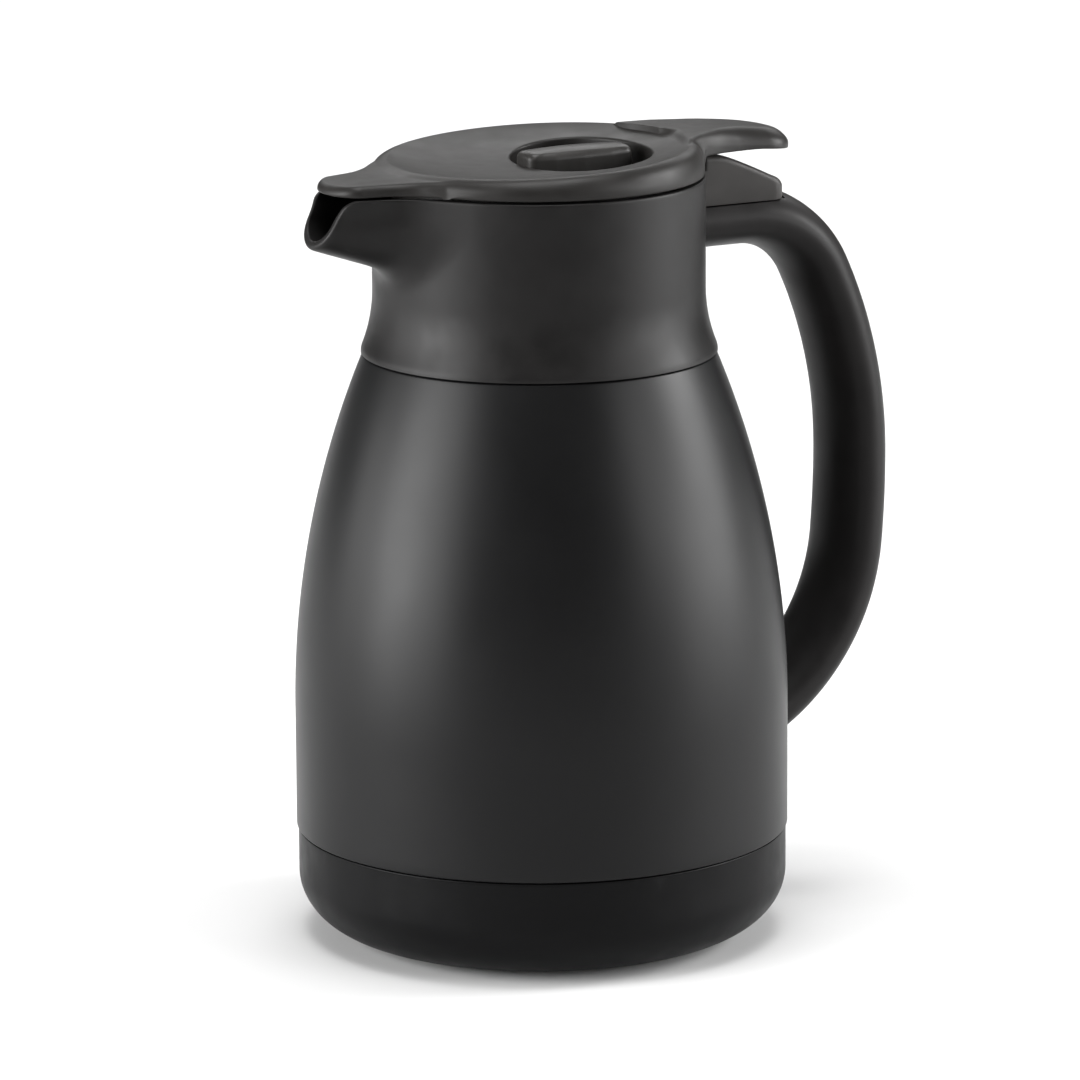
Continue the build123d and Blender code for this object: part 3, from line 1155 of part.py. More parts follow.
# Four small screws that hold the plate
with BuildPart() as retainer_screws:
    with BuildSketch(Plane.XY.offset(CAM_TOP - RETAINER_THICKNESS)):
        with Locations(*RETAINER_SPOTS):
            Circle(SMALL_SCREW_HEAD_RADIUS)
    extrude(amount=-SMALL_SCREW_HEAD_HEIGHT)
    with BuildSketch(Plane.XY.offset(CAM_TOP - RETAINER_THICKNESS)):
        with Locations(*RETAINER_SPOTS):
            Circle(SMALL_SCREW_RADIUS)
    extrude(amount=RETAINER_THICKNESS + SMALL_SCREW_GRIP)
retainer_screws.part.label = "retainer_screws"
export_step(retainer_screws.part, "parts/retainer_screws.step")

# Turn knob: a round disc in the well, with a grip bar on top and a stepped shaft below
SHAFT_BOTTOM = CAM_TOP + CAM_GAP
GROOVE_HEIGHT = WELL_FLOOR - WELL_WALL / 2
with BuildPart() as lock_knob:
    with BuildSketch(Plane.XY.offset(KNOB_DISC_BOTTOM)):
        with Locations((KNOB_X, 0)):
            Circle(KNOB_DISC_RADIUS)
    extrude(amount=KNOB_DISC_THICKNESS)
    fillet(lock_knob.faces().sort_by(Axis.Z)[-1].edges(), KNOB_DISC_ROUND)
    with BuildSketch(Plane.XY.offset(KNOB_DISC_TOP)):
        with Locations((KNOB_X, 0)):
            RectangleRounded(BAR_LENGTH, BAR_WIDTH, BAR_CORNER)
    extrude(amount=BAR_HEIGHT, taper=BAR_TAPER)
    fillet(lock_knob.faces().sort_by(Axis.Z)[-1].edges(), BAR_ROUND)
    with BuildSketch(Plane.XY.offset(SHAFT_BOTTOM)):
        with Locations((KNOB_X, 0)):
            Circle(SHAFT_RADIUS)
    extrude(amount=KNOB_DISC_BOTTOM - SHAFT_BOTTOM)
    with BuildSketch(Plane.XY.offset(CAM_BOTTOM)):
        with Locations((KNOB_X, 0)):
            Circle(SPINDLE_RADIUS)
            with Locations((SPINDLE_RADIUS, 0)):
                Rectangle(2 * SPINDLE_FLAT, 2 * SPINDLE_RADIUS, mode=Mode.SUBTRACT)
    extrude(amount=SHAFT_BOTTOM - CAM_BOTTOM)
    with BuildSketch(Plane.XY.offset(CAM_BOTTOM)):
        with Locations((KNOB_X, 0)):
            Circle(SMALL_SCREW_RADIUS + SCREW_FIT)
    extrude(amount=CAM_SCREW_LENGTH + SLIDE_CLEARANCE, mode=Mode.SUBTRACT)
    with BuildSketch(Plane.XY.offset(GROOVE_HEIGHT - SHAFT_SEAL_RADIUS)):
        with Locations((KNOB_X, 0)):
            Circle(SHAFT_RADIUS + SHAFT_RUNNING_FIT)
            Circle(SHAFT_RADIUS - 2 * SHAFT_SEAL_RADIUS, mode=Mode.SUBTRACT)
    extrude(amount=2 * SHAFT_SEAL_RADIUS, mode=Mode.SUBTRACT)
lock_knob.part.label = "lock_knob"
export_step(lock_knob.part, "parts/lock_knob.step")

# O-ring in the shaft's groove
with BuildPart() as knob_seal:
    with BuildSketch(Plane.XZ):
        with Locations((KNOB_X + SHAFT_RADIUS - SHAFT_SEAL_RADIUS, GROOVE_HEIGHT)):
            Circle(SHAFT_SEAL_RADIUS)
    revolve(axis=Axis((KNOB_X, 0, 0), (0, 0, 1)))
knob_seal.part.label = "knob_seal"
export_step(knob_seal.part, "parts/knob_seal.step")


def cam_point(angle):
    """Middle of the cam's slot at an angle; it moves out by the bolt's stroke over a quarter turn."""
    reach = CAM_PIN_START + BOLT_STROKE * (90 - angle) / 90
    return (reach * cos(radians(angle)), reach * sin(radians(angle)))


# Cam disc with two spiral slots, half a turn apart
with BuildPart() as lock_cam:
    with BuildSketch(Plane.XY.offset(CAM_BOTTOM)):
        with Locations((KNOB_X, 0)):
            Circle(CAM_RADIUS)
            Circle(SPINDLE_RADIUS, mode=Mode.SUBTRACT)
    extrude(amount=CAM_THICKNESS)
    with BuildLine() as slot_middle:
        arc = ThreePointArc(cam_point(90 + CAM_SLOT_OVERRUN), cam_point(45), cam_point(-CAM_SLOT_OVERRUN))
    for turn in (0, 180):
        with BuildSketch(Plane.XY.offset(CAM_BOTTOM)):
            with Locations((KNOB_X, 0)):
                SlotArc(arc, 2 * (CAM_PIN_RADIUS + CAM_SLOT_CLEARANCE), rotation=turn)
        extrude(amount=CAM_THICKNESS, mode=Mode.SUBTRACT)
lock_cam.part.label = "lock_cam"
export_step(lock_cam.part, "parts/lock_cam.step")

# Screw that holds the cam on the knob's spindle
with BuildPart() as cam_screw:
    with BuildSketch(Plane.XY.offset(CAM_BOTTOM)):
        with Locations((KNOB_X, 0)):
            Circle(CAM_SCREW_HEAD_RADIUS)
    extrude(amount=-CAM_SCREW_HEAD_HEIGHT)
    with BuildSketch(Plane.XY.offset(CAM_BOTTOM)):
        with Locations((KNOB_X, 0)):
            Circle(SMALL_SCREW_RADIUS)
    extrude(amount=CAM_SCREW_LENGTH)
cam_screw.part.label = "cam_screw"
export_step(cam_screw.part, "parts/cam_screw.step")

# Two lock bolts, each with a pin that rides in the cam's slot
for side, label in ((1, "lock_bolt_far"), (-1, "lock_bolt_near")):
    with BuildPart() as lock_bolt:
        with BuildSketch(Plane.XY.offset(BOLT_BOTTOM)):
            with Locations((KNOB_X, side * (COLLAR_BORE + BOLT_START) / 2)):
                Rectangle(BOLT_WIDTH, COLLAR_BORE - BOLT_START)
            # rounded tip that stays clear of the collar's bore when the bolt is out
            with Locations((0, -side * BOLT_STROKE)):
                Circle(COLLAR_BORE - BOLT_END_CLEARANCE, mode=Mode.INTERSECT)
        extrude(amount=BOLT_THICKNESS)
        tip = lock_bolt.faces().sort_by(Axis.Y)[-1 if side > 0 else 0]
        chamfer(tip.edges().sort_by(Axis.Z)[-1], BOLT_TIP_CHAMFER)
        with BuildSketch(Plane.XY.offset(BOLT_BOTTOM)):
            with Locations((KNOB_X, side * CAM_PIN_START)):
                Circle(CAM_PIN_RADIUS)
        extrude(amount=-CAM_THICKNESS)
    lock_bolt.part.label = label
    export_step(lock_bolt.part, f"parts/{label}.step")
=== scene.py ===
# %% [markdown]
# # A vacuum carafe, dressed
# The solids come in as a fixed frame, at real size, with Z up, the handle on +X and the spout
# on -X. This lesson puts finished surfaces over the pieces that show: a painted steel body, a
# grained collar with its spout, a soft-edged lid with a thumb lever, a turn knob and a loop
# handle. Every size below is in millimetres and is turned into metres when a mesh is made.

# %% Load the frame
import bpy
import bmesh
import numpy as np
from math import cos, pi, radians, sin, sqrt
from mathutils import Matrix, Vector


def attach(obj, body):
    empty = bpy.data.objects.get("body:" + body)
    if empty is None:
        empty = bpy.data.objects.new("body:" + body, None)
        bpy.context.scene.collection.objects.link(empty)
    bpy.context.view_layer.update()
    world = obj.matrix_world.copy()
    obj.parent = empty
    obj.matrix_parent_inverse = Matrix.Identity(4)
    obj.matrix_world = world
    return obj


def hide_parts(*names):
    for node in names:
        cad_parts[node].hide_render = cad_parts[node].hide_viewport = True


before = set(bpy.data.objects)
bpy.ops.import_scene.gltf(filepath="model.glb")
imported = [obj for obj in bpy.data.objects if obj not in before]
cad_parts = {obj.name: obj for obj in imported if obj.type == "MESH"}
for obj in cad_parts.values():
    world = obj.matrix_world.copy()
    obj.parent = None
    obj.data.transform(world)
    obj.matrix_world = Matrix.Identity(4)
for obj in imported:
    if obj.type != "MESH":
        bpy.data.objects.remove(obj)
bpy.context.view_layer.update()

# %% [markdown]
# ## Meshes from rings
# Nearly every piece here is a skin over closed loops: a turned shell is a stack of circles, the
# lid is a stack of outlines, the handle a row of ovals. A single function that joins such loops
# with four-sided faces gives clean, closed meshes with even shading. Booleans would leave long
# thin faces that show in soft highlights, so they are kept for plain cuts.

# %% A skin over rings
MM = 0.001
SHARP_EDGE = radians(38)
MERGE_WITHIN = 2e-7  # metres
FLAT_WITHIN = 1e-7  # metres


def mesh_object(name, points, faces, sharp=SHARP_EDGE):
    """An object at the origin, from points in millimetres, merged, with its faces outward."""
    mesh = bpy.data.meshes.new(name)
    mesh.from_pydata((np.asarray(points) * MM).tolist(), [], faces)
    work = bmesh.new()
    work.from_mesh(mesh)
    bmesh.ops.remove_doubles(work, verts=work.verts, dist=MERGE_WITHIN)
    bmesh.ops.dissolve_degenerate(work, edges=work.edges, dist=FLAT_WITHIN)
    bmesh.ops.recalc_face_normals(work, faces=work.faces)
    work.to_mesh(mesh)
    work.free()
    mesh.shade_smooth()
    mesh.set_sharp_from_angle(angle=sharp)
    piece = bpy.data.objects.new(name, mesh)
    bpy.context.scene.collection.objects.link(piece)
    return piece


def ring_faces(rows, columns, loop=False, first=0):
    """Faces between rows of points; loop joins the last row to the first."""
    faces = []
    for row in range(rows if loop else rows - 1):
        low = first + row * columns
        high = first + ((row + 1) % rows) * columns
        for i in range(columns):
            j = (i + 1) % columns
            faces.append((low + i, low + j, high + j, high + i))
    return faces


def skin(name, rings, loop=False, capped=True, sharp=SHARP_EDGE):
    """A closed skin over rings of equal count; open ends get a fan to their middle."""
    rings = np.asarray(rings, dtype=float)
    rows, columns = rings.shape[:2]
    points = rings.reshape(-1, 3)
    faces = ring_faces(rows, columns, loop)
    if capped and not loop:
        middles = [rings[0].mean(axis=0), rings[-1].mean(axis=0)]
        start = len(points)
        points = np.vstack([points, middles])
        last = (rows - 1) * columns
        for i in range(columns):
            j = (i + 1) % columns
            faces.append((start, j, i))
            faces.append((start + 1, last + i, last + j))
    return mesh_object(name, points, faces, sharp)


# %% [markdown]
# A moulded or pressed part has no true corner, so each profile is a list of corners with a
# radius. The helper walks round each corner on an arc, as a fillet would, and the result is
# dense enough that its highlights run smoothly.

# %% Rounded profiles and turned pieces
def rounded(corners, closed=False, steps=7):
    """Points along a polyline whose corners (a, b, radius) are replaced by arcs."""
    count = len(corners)
    path = []
    for i, (a, b, radius) in enumerate(corners):
        here = np.array([a, b], dtype=float)
        if radius <= 0 or (not closed and i in (0, count - 1)):
            path.append(here)
            continue
        before = np.array(corners[i - 1][:2], dtype=float) - here
        after = np.array(corners[(i + 1) % count][:2], dtype=float) - here
        before_length, after_length = np.linalg.norm(before), np.linalg.norm(after)
        before, after = before / before_length, after / after_length
        half = np.arccos(np.clip(before @ after, -1, 1)) / 2
        reach = min(radius / np.tan(half), 0.499 * before_length, 0.499 * after_length)
        for step in range(steps + 1):
            t = step / steps
            start, end = here + before * reach, here + after * reach
            w = np.sin(half)
            blend = (1 - t) ** 2 * start + 2 * w * t * (1 - t) * here + t ** 2 * end
            path.append(blend / ((1 - t) ** 2 + 2 * w * t * (1 - t) + t ** 2))
    return np.array(path)


def spaced(path, gap, closed=False):
    """The same path with extra points, so that no step is longer than gap."""
    path = np.asarray(path, dtype=float)
    ends = np.vstack([path, path[:1]]) if closed else path
    out = []
    for a, b in zip(ends[:-1], ends[1:]):
        count = max(1, int(np.ceil(np.linalg.norm(b - a) / gap)))
        out.extend(a + (b - a) * k / count for k in range(count))
    if not closed:
        out.append(ends[-1])
    return np.array(out)


def circle(radius, height, segments, centre=(0.0, 0.0)):
    """A ring of points round the Z axis or round a centre."""
    angles = np.linspace(0, 2 * pi, segments, endpoint=False)
    x = centre[0] + radius * np.cos(angles)
    y = centre[1] + radius * np.sin(angles)
    return np.column_stack([x, y, np.full(segments, height)])


def turned(name, profile, segments=240, loop=True, centre=(0.0, 0.0), sharp=SHARP_EDGE):
    """A turned piece from a profile of (radius, height)."""
    rings = [circle(max(radius, 0.0), height, segments, centre) for radius, height in profile]
    return skin(name, rings, loop=loop, capped=not loop, sharp=sharp)


print("helpers ready, sharp edges from", round(SHARP_EDGE, 3), "rad")

# %% [markdown]
# ## Finishes
# The collar, handle, base and lid are moulded in grained plastic. Their grain is far finer than a
# hair, so it shows only as a soft sheen: a little noise in the bump breaks up the gloss, and a
# slower noise shifts tone and roughness by a few percent. The body wears a satin paint with a fine
# orange peel. A flat colour would look like a drawing, while a picture texture would slide over
# the curves, so each finish is built from noise on Object coordinates.

# %% Nodes that every finish uses
NOISE_RANGE = (0.3, 0.7)
EDGE_RANGE = (0.53, 0.62)
FINE_DETAIL = 2.0
SLOW_DETAIL = 3.0


def noise(tree, place, size, detail):
    """A noise texture with blobs of about size in millimetres."""
    node = tree.nodes.new("ShaderNodeTexNoise")
    node.inputs["Scale"].default_value = 1 / (size * MM)
    node.inputs["Detail"].default_value = detail
    tree.links.new(place, node.inputs["Vector"])
    return node.outputs["Fac"]


def remapped(tree, source, span, to):
    """The values of span turned into those of to, and held at its ends."""
    node = tree.nodes.new("ShaderNodeMapRange")
    for socket, value in zip(("From Min", "From Max", "To Min", "To Max"), (*span, *to)):
        node.inputs[socket].default_value = value
    tree.links.new(source, node.inputs["Value"])
    return node.outputs["Result"]


# %% One helper for moulded, painted and turned finishes
def finish(name, colour, roughness, metallic=0.0, grain=0.35, grain_size=0.35, depth=0.02,
           mottle=0.10, mottle_size=9.0, drift=0.05, stretch=(1.0, 1.0, 1.0), edge_highlight=0.0, **constants):
    """A finish: fine bump, slow shifts in tone and roughness, and a painted highlight that lightens convex
    edges.
    """
    material = bpy.data.materials.new(name)
    material.use_nodes = True
    tree = material.node_tree
    add, link = tree.nodes.new, tree.links.new
    shader = tree.nodes["Principled BSDF"]
    shader.inputs["Metallic"].default_value = metallic
    for socket, value in constants.items():
        shader.inputs[socket.replace("_", " ")].default_value = value
    place = add("ShaderNodeTexCoord")
    scaling = add("ShaderNodeMapping")
    scaling.inputs["Scale"].default_value = stretch
    link(place.outputs["Object"], scaling.inputs["Vector"])

    fine = noise(tree, scaling.outputs["Vector"], grain_size, FINE_DETAIL)
    bump = add("ShaderNodeBump")
    bump.inputs["Strength"].default_value = grain
    bump.inputs["Distance"].default_value = depth * MM
    link(fine, bump.inputs["Height"])
    link(bump.outputs["Normal"], shader.inputs["Normal"])

    slow = noise(tree, scaling.outputs["Vector"], mottle_size, SLOW_DETAIL)
    tone = add("ShaderNodeValToRGB")
    for stop, position, share in zip(tone.color_ramp.elements, NOISE_RANGE, (1 - mottle, 1 + mottle)):
        stop.position = position
        stop.color = [c * share for c in colour] + [1]
    link(slow, tone.inputs["Fac"])
    rough = remapped(tree, slow, NOISE_RANGE, (roughness - drift, roughness + drift))
    link(rough, shader.inputs["Roughness"])
    shown = tone.outputs["Color"]
    # Convex edges, found by pointiness, are painted lighter: a painted edge highlight.
    if edge_highlight:
        shape = add("ShaderNodeNewGeometry")
        edge = remapped(tree, shape.outputs["Pointiness"], EDGE_RANGE, (0.0, edge_highlight))
        highlit_edge = add("ShaderNodeMix")
        highlit_edge.data_type = "RGBA"
        highlit_edge.inputs["B"].default_value = [min(1, c * 2.2 + 0.01) for c in colour] + [1]
        link(edge, highlit_edge.inputs["Factor"])
        link(shown, highlit_edge.inputs["A"])
        shown = highlit_edge.outputs["Result"]
    link(shown, shader.inputs["Base Color"])
    return material


# %% The finishes
# Each specular level is as strong as the soft bands on that piece are in the photograph.
finishes = {
    "body_paint": finish("body_paint", (0.0042, 0.0042, 0.0044), 0.38, grain=0.25, grain_size=0.8,
                         depth=0.012, mottle=0.05, mottle_size=24, drift=0.02, Specular_IOR_Level=0.17),
    "pad_rubber": finish("pad_rubber", (0.035, 0.035, 0.035), 0.80, grain=0.6, grain_size=0.6, depth=0.05),
    "plug_plastic": finish("plug_plastic", (0.030, 0.030, 0.030), 0.40),
    "slide_plastic": finish("slide_plastic", (0.62, 0.60, 0.55), 0.42, mottle=0.03),
    "silicone": finish("silicone", (0.26, 0.26, 0.255), 0.55, grain=0.2, mottle=0.04),
    "foam": finish("foam", (0.66, 0.61, 0.46), 0.90, grain=1.0, grain_size=1.0, depth=0.3),
    "bare_steel": finish("bare_steel", (0.50, 0.50, 0.49), 0.38, metallic=1.0, grain=0.3,
                         stretch=(1.0, 1.0, 12.0), grain_size=1.2, mottle=0.06),
    "flask_steel": finish("flask_steel", (0.55, 0.55, 0.54), 0.26, metallic=1.0, grain=0.35,
                          stretch=(0.25, 0.25, 9.0), grain_size=2.0, depth=0.01, mottle=0.06),
    "screw_steel": finish("screw_steel", (0.60, 0.60, 0.59), 0.24, metallic=1.0, grain=0.15),
    "spring_steel": finish("spring_steel", (0.42, 0.42, 0.43), 0.30, metallic=1.0, grain=0.2),
    "solder": finish("solder", (0.58, 0.58, 0.56), 0.45, metallic=1.0, grain=0.8, depth=0.05),
}
# Strength of the painted highlight on the convex edges of the grained plastics.
EDGE_HIGHLIGHT = 0.2
for name, colour, roughness, specular in (
        ("collar_grain", (0.0078, 0.0074, 0.0073), 0.42, 0.145),
        ("base_grain", (0.0024, 0.0024, 0.0026), 0.40, 0.085),
        ("handle_grain", (0.0130, 0.0123, 0.0122), 0.42, 0.08),
        ("lid_grain", (0.0130, 0.0122, 0.0116), 0.42, 0.145),
        ("hinge_grain", (0.026, 0.0245, 0.0235), 0.40, 0.15),
        ("knob_grain", (0.020, 0.019, 0.018), 0.38, 0.18)):
    finishes[name] = finish(name, colour, roughness, edge_highlight=EDGE_HIGHLIGHT, Specular_IOR_Level=specular)
print("finishes:", ", ".join(sorted(finishes)))


def dress(piece, body, slot, look, *nodes):
    """Gives a piece its finish and its body, and hides the solids that it stands for. The slot argument is
    not used.
    """
    piece.data.materials.clear()
    piece.data.materials.append(finishes[look])
    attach(piece, body)
    if nodes:
        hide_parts(*nodes)
    count = sum(len(face.vertices) - 2 for face in piece.data.polygons)
    size = [round(value / MM, 1) for value in piece.dimensions]
    print(f"{piece.name}: {count} triangles, {size} mm, on {body}")


# %% [markdown]
# ## Steel body
# The shell is pressed from one tube: a straight belly, then one long arc up to a small groove
# under the collar, and the neck inside it. It is turned from the same profile as its solid, with
# the arc walked in short steps, because its long soft highlights show every flat.

# %% Outer shell
BELLY_RADIUS = 70.2
BELLY_TOP = 66.0
SHOULDER_CURVE = 264.604
SHOULDER_TOP = 167.4
BASE_SEAM = 31.0
SHELL_FOOT = 10.0
SHELL_FOOT_RADIUS = 67.7
NECK_RADIUS = 40.0
NECK_TOP = 194.4
NECK_FOOT = 174.0
GROOVE_RADIUS = 42.5
GROOVE_HEIGHT = 170.6
FOOT_OPENING = 52.0
FOOT_ROUND = 14
SHELL_WALL = 0.6


def shoulder_radius(height, inset=0.0):
    """The body's radius on its long arc, moved in by inset."""
    curve = SHOULDER_CURVE - inset
    return BELLY_RADIUS - SHOULDER_CURVE + sqrt(curve ** 2 - (height - BELLY_TOP) ** 2)


def shell_line(inset):
    """The body's profile from its open foot to its neck, moved in by inset."""
    top = SHOULDER_TOP - 1.4 * inset
    foot = SHELL_FOOT_RADIUS - inset
    belly = BELLY_RADIUS - inset
    neck = NECK_RADIUS - inset
    low = [(FOOT_OPENING, SHELL_FOOT + inset, 0), (foot, SHELL_FOOT + inset, FOOT_ROUND - inset),
           (foot, BASE_SEAM + inset, 0.3), (belly, BASE_SEAM + inset, 0.6), (belly, BELLY_TOP, 0)]
    arc = [(shoulder_radius(z, inset), z, 0) for z in np.linspace(BELLY_TOP, top - 1.2, 60)[1:]]
    high = [(shoulder_radius(top, inset), top, 0.7), (GROOVE_RADIUS - inset, GROOVE_HEIGHT - inset, 0.5),
            (neck, NECK_FOOT - inset, 2.4), (neck, NECK_TOP, 0)]
    return rounded(low + arc + high)


outer_line = spaced(shell_line(0.0), 3.0)
inner_line = spaced(shell_line(SHELL_WALL), 6.0)
shell = turned("body_shell", np.vstack([outer_line, inner_line[::-1]]), segments=300)
dress(shell, "carafe", "body_steel", "body_paint", "outer_shell")

# %% [markdown]
# The base cap is a moulded cup that the shell stands in. Its lower edge is a wide oval curve, so
# that it looks lifted off the table. The rubber pad under it has pressed rings, which repeat by
# a rule, so Geometry Nodes lay them out: one circle, set down at even steps of radius, and a thin
# wire swept along each.

# %% Base cap
CAP_RADIUS = 69.7
CAP_TOP = 30.7
CAP_WALL = 1.9
CAP_FLOOR = 0.8
CAP_CORNER_OUT = 20.0
CAP_CORNER_UP = 17.0
POCKET_RADIUS = 38.15
POCKET_HEIGHT = 2.05
CAP_HOLE_RADIUS = 2.0


def cap_line(inset):
    """The cap's profile from its middle out and up, with an oval lower edge."""
    turn = np.linspace(0, pi / 2, 26)
    out, down = CAP_CORNER_OUT - inset, CAP_CORNER_UP - inset
    return np.array([(CAP_RADIUS - CAP_CORNER_OUT + out * sin(t), CAP_FLOOR + CAP_CORNER_UP - down * cos(t))
                     for t in turn])


cap_inner = CAP_RADIUS - CAP_WALL
cap_outside = np.vstack([[[POCKET_RADIUS, CAP_FLOOR]], cap_line(0.0), [[CAP_RADIUS, CAP_TOP - 0.5]]])
cap_outside = spaced(cap_outside, 3.0)
cap_rim = rounded([(CAP_RADIUS, CAP_TOP - 0.6, 0), (CAP_RADIUS, CAP_TOP, 0.5),
                   (cap_inner, CAP_TOP, 0.2), (cap_inner, CAP_TOP - 0.6, 0)])
cap_inside = spaced(np.vstack([cap_line(CAP_WALL), [[cap_inner, CAP_TOP - 0.7]]]), 4.0)[::-1]
cap_floor = [(POCKET_RADIUS, CAP_FLOOR + CAP_WALL), (CAP_HOLE_RADIUS, CAP_FLOOR + CAP_WALL),
             (CAP_HOLE_RADIUS, POCKET_HEIGHT), (POCKET_RADIUS, POCKET_HEIGHT)]
cap = turned("base_shell", np.vstack([cap_outside, cap_rim, cap_inside, cap_floor]), segments=300)
dress(cap, "carafe", "base_plastic", "base_grain", "base_cap")

# %% How every Geometry Nodes tree begins and ends
def tree_begun(name, sizes, counts):
    """A tree with geometry in and out, named sizes in metres and named counts."""
    tree = bpy.data.node_groups.new(name, "GeometryNodeTree")
    face = tree.interface
    face.new_socket("Geometry", in_out="INPUT", socket_type="NodeSocketGeometry")
    for labels, kind in ((sizes, "NodeSocketFloat"), (counts, "NodeSocketInt")):
        for label in labels:
            face.new_socket(label, in_out="INPUT", socket_type=kind)
    face.new_socket("Geometry", in_out="OUTPUT", socket_type="NodeSocketGeometry")
    return tree, tree.nodes.new("NodeGroupInput"), tree.nodes.new("NodeGroupOutput")


def tree_ended(tree, source, end, look):
    """Makes a tree's instances real, which the export needs, and gives them their material."""
    real = tree.nodes.new("GeometryNodeRealizeInstances")
    tree.links.new(source, real.inputs["Geometry"])
    paint = tree.nodes.new("GeometryNodeSetMaterial")
    paint.inputs["Material"].default_value = look
    tree.links.new(real.outputs["Geometry"], paint.inputs["Geometry"])
    tree.links.new(paint.outputs["Geometry"], end.inputs["Geometry"])
    return tree


def set_inputs(modifier, **values):
    """Sets a node modifier's inputs by their identifiers."""
    for item in modifier.node_group.interface.items_tree:
        key = item.name.replace(" ", "_").lower()
        if item.in_out == "INPUT" and key in values:
            modifier[item.identifier] = values[key]


# %% Foot pad with pressed rings, laid out by Geometry Nodes
PAD_RADIUS = 38.0
PAD_THICKNESS = 2.0
PAD_RECESS = 0.45
RING_CIRCLE_POINTS = 96
RING_WIRE_POINTS = 8


def ring_tree(look):
    """A tree that sets raised rings at even steps of radius on a flat pad."""
    tree, start, end = tree_begun("pressed_rings", ("First radius", "Step", "Wire"), ("Rings",))
    add, link = tree.nodes.new, tree.links.new
    spots = add("GeometryNodeMeshLine")
    spots.inputs["Start Location"].default_value = (0, 0, PAD_RECESS * MM)
    spots.inputs["Offset"].default_value = (0, 0, 0)
    link(start.outputs["Rings"], spots.inputs["Count"])
    index = add("GeometryNodeInputIndex")
    grow = add("ShaderNodeMath")
    grow.operation = "MULTIPLY_ADD"
    link(index.outputs[0], grow.inputs[0])
    link(start.outputs["Step"], grow.inputs[1])
    link(start.outputs["First radius"], grow.inputs[2])
    stretch = add("ShaderNodeCombineXYZ")
    link(grow.outputs[0], stretch.inputs["X"])
    link(grow.outputs[0], stretch.inputs["Y"])
    stretch.inputs["Z"].default_value = 1.0
    unit = add("GeometryNodeCurvePrimitiveCircle")
    unit.inputs["Resolution"].default_value = RING_CIRCLE_POINTS
    unit.inputs["Radius"].default_value = 1.0
    rings = add("GeometryNodeInstanceOnPoints")
    link(spots.outputs["Mesh"], rings.inputs["Points"])
    link(unit.outputs["Curve"], rings.inputs["Instance"])
    link(stretch.outputs["Vector"], rings.inputs["Scale"])
    real = add("GeometryNodeRealizeInstances")
    link(rings.outputs["Instances"], real.inputs["Geometry"])
    wire = add("GeometryNodeCurvePrimitiveCircle")
    wire.inputs["Resolution"].default_value = RING_WIRE_POINTS
    link(start.outputs["Wire"], wire.inputs["Radius"])
    tube = add("GeometryNodeCurveToMesh")
    link(real.outputs["Geometry"], tube.inputs["Curve"])
    link(wire.outputs["Curve"], tube.inputs["Profile Curve"])
    together = add("GeometryNodeJoinGeometry")
    link(start.outputs["Geometry"], together.inputs["Geometry"])
    link(tube.outputs["Mesh"], together.inputs["Geometry"])
    return tree_ended(tree, together.outputs["Geometry"], end, look)


def applied(piece):
    """The piece with its modifiers turned into plain mesh."""
    depsgraph = bpy.context.evaluated_depsgraph_get()
    mesh = bpy.data.meshes.new_from_object(piece.evaluated_get(depsgraph), depsgraph=depsgraph)
    piece.modifiers.clear()
    old, piece.data = piece.data, mesh
    bpy.data.meshes.remove(old)
    return piece


pad_line = rounded([(0.0, PAD_RECESS, 0), (34.6, PAD_RECESS, 0), (35.2, 0.0, 0.1),
                    (PAD_RADIUS - 0.1, 0.0, 0.3), (PAD_RADIUS, 0.4, 0.3),
                    (PAD_RADIUS, PAD_THICKNESS, 0), (0.0, PAD_THICKNESS, 0)])
pad = turned("foot_ring_pad", spaced(pad_line, 4.0)[1:-1], segments=160, loop=False)
rings = pad.modifiers.new("rings", "NODES")
rings.node_group = ring_tree(finishes["pad_rubber"])
set_inputs(rings, first_radius=11.0 * MM, step=2.6 * MM, wire=0.4 * MM, rings=9)
applied(pad)
dress(pad, "carafe", "pad_rubber", "pad_rubber", "foot_pad")

# %% [markdown]
# ## Curves and soft joins
# The lid's tongue, its lever and the spout grow out of round parts with no visible join. Each
# form is written as a distance: how far a point lies inside it. The larger of two distances is
# the two forms together, and rounding the corner between them gives the fillet. This is easier
# to steer than booleans with bevels, since one number sets each fillet's width.

# %% Curves through points, and rounded unions
def through(points):
    """A smooth curve through points (at, value), as a function of at."""
    at, value = np.array(points, dtype=float).T
    slope = np.gradient(value, at)

    def curve(x):
        x = np.clip(x, at[0], at[-1])
        i = np.clip(np.searchsorted(at, x) - 1, 0, len(at) - 2)
        width = at[i + 1] - at[i]
        t = (x - at[i]) / width
        start = (1 + 2 * t) * (1 - t) ** 2 * value[i] + t * (1 - t) ** 2 * width * slope[i]
        return start + t * t * (3 - 2 * t) * value[i + 1] + t * t * (t - 1) * width * slope[i + 1]

    return curve


def joined(a, b, width):
    """The larger of two distances, with the corner between them rounded."""
    near = np.clip(width - np.abs(a - b), 0, None)
    return np.maximum(a, b) + near ** 2 / (4 * width)


def trimmed(a, b, width):
    """The smaller of two distances, with the corner between them rounded."""
    return -joined(-a, -b, width)


def edge_along(directions, inside, near, far, steps=34):
    """How far each direction runs before the distance inside falls to nothing."""
    low = np.full(directions.shape, near, dtype=float)
    high = np.full(directions.shape, far, dtype=float)
    for _ in range(steps):
        middle = (low + high) / 2
        within = inside(middle * np.cos(directions), middle * np.sin(directions)) > 0
        low, high = np.where(within, middle, low), np.where(within, high, middle)
    return (low + high) / 2


def even_angles(radius_at, count, fine=7200):
    """Angles that cut a closed outline into steps of equal length."""
    angles = np.linspace(-pi, pi, fine + 1)
    radius = radius_at(angles)
    x, y = radius * np.cos(angles), radius * np.sin(angles)
    length = np.concatenate([[0], np.cumsum(np.hypot(np.diff(x), np.diff(y)))])
    return np.interp(np.linspace(0, length[-1], count, endpoint=False), length, angles)


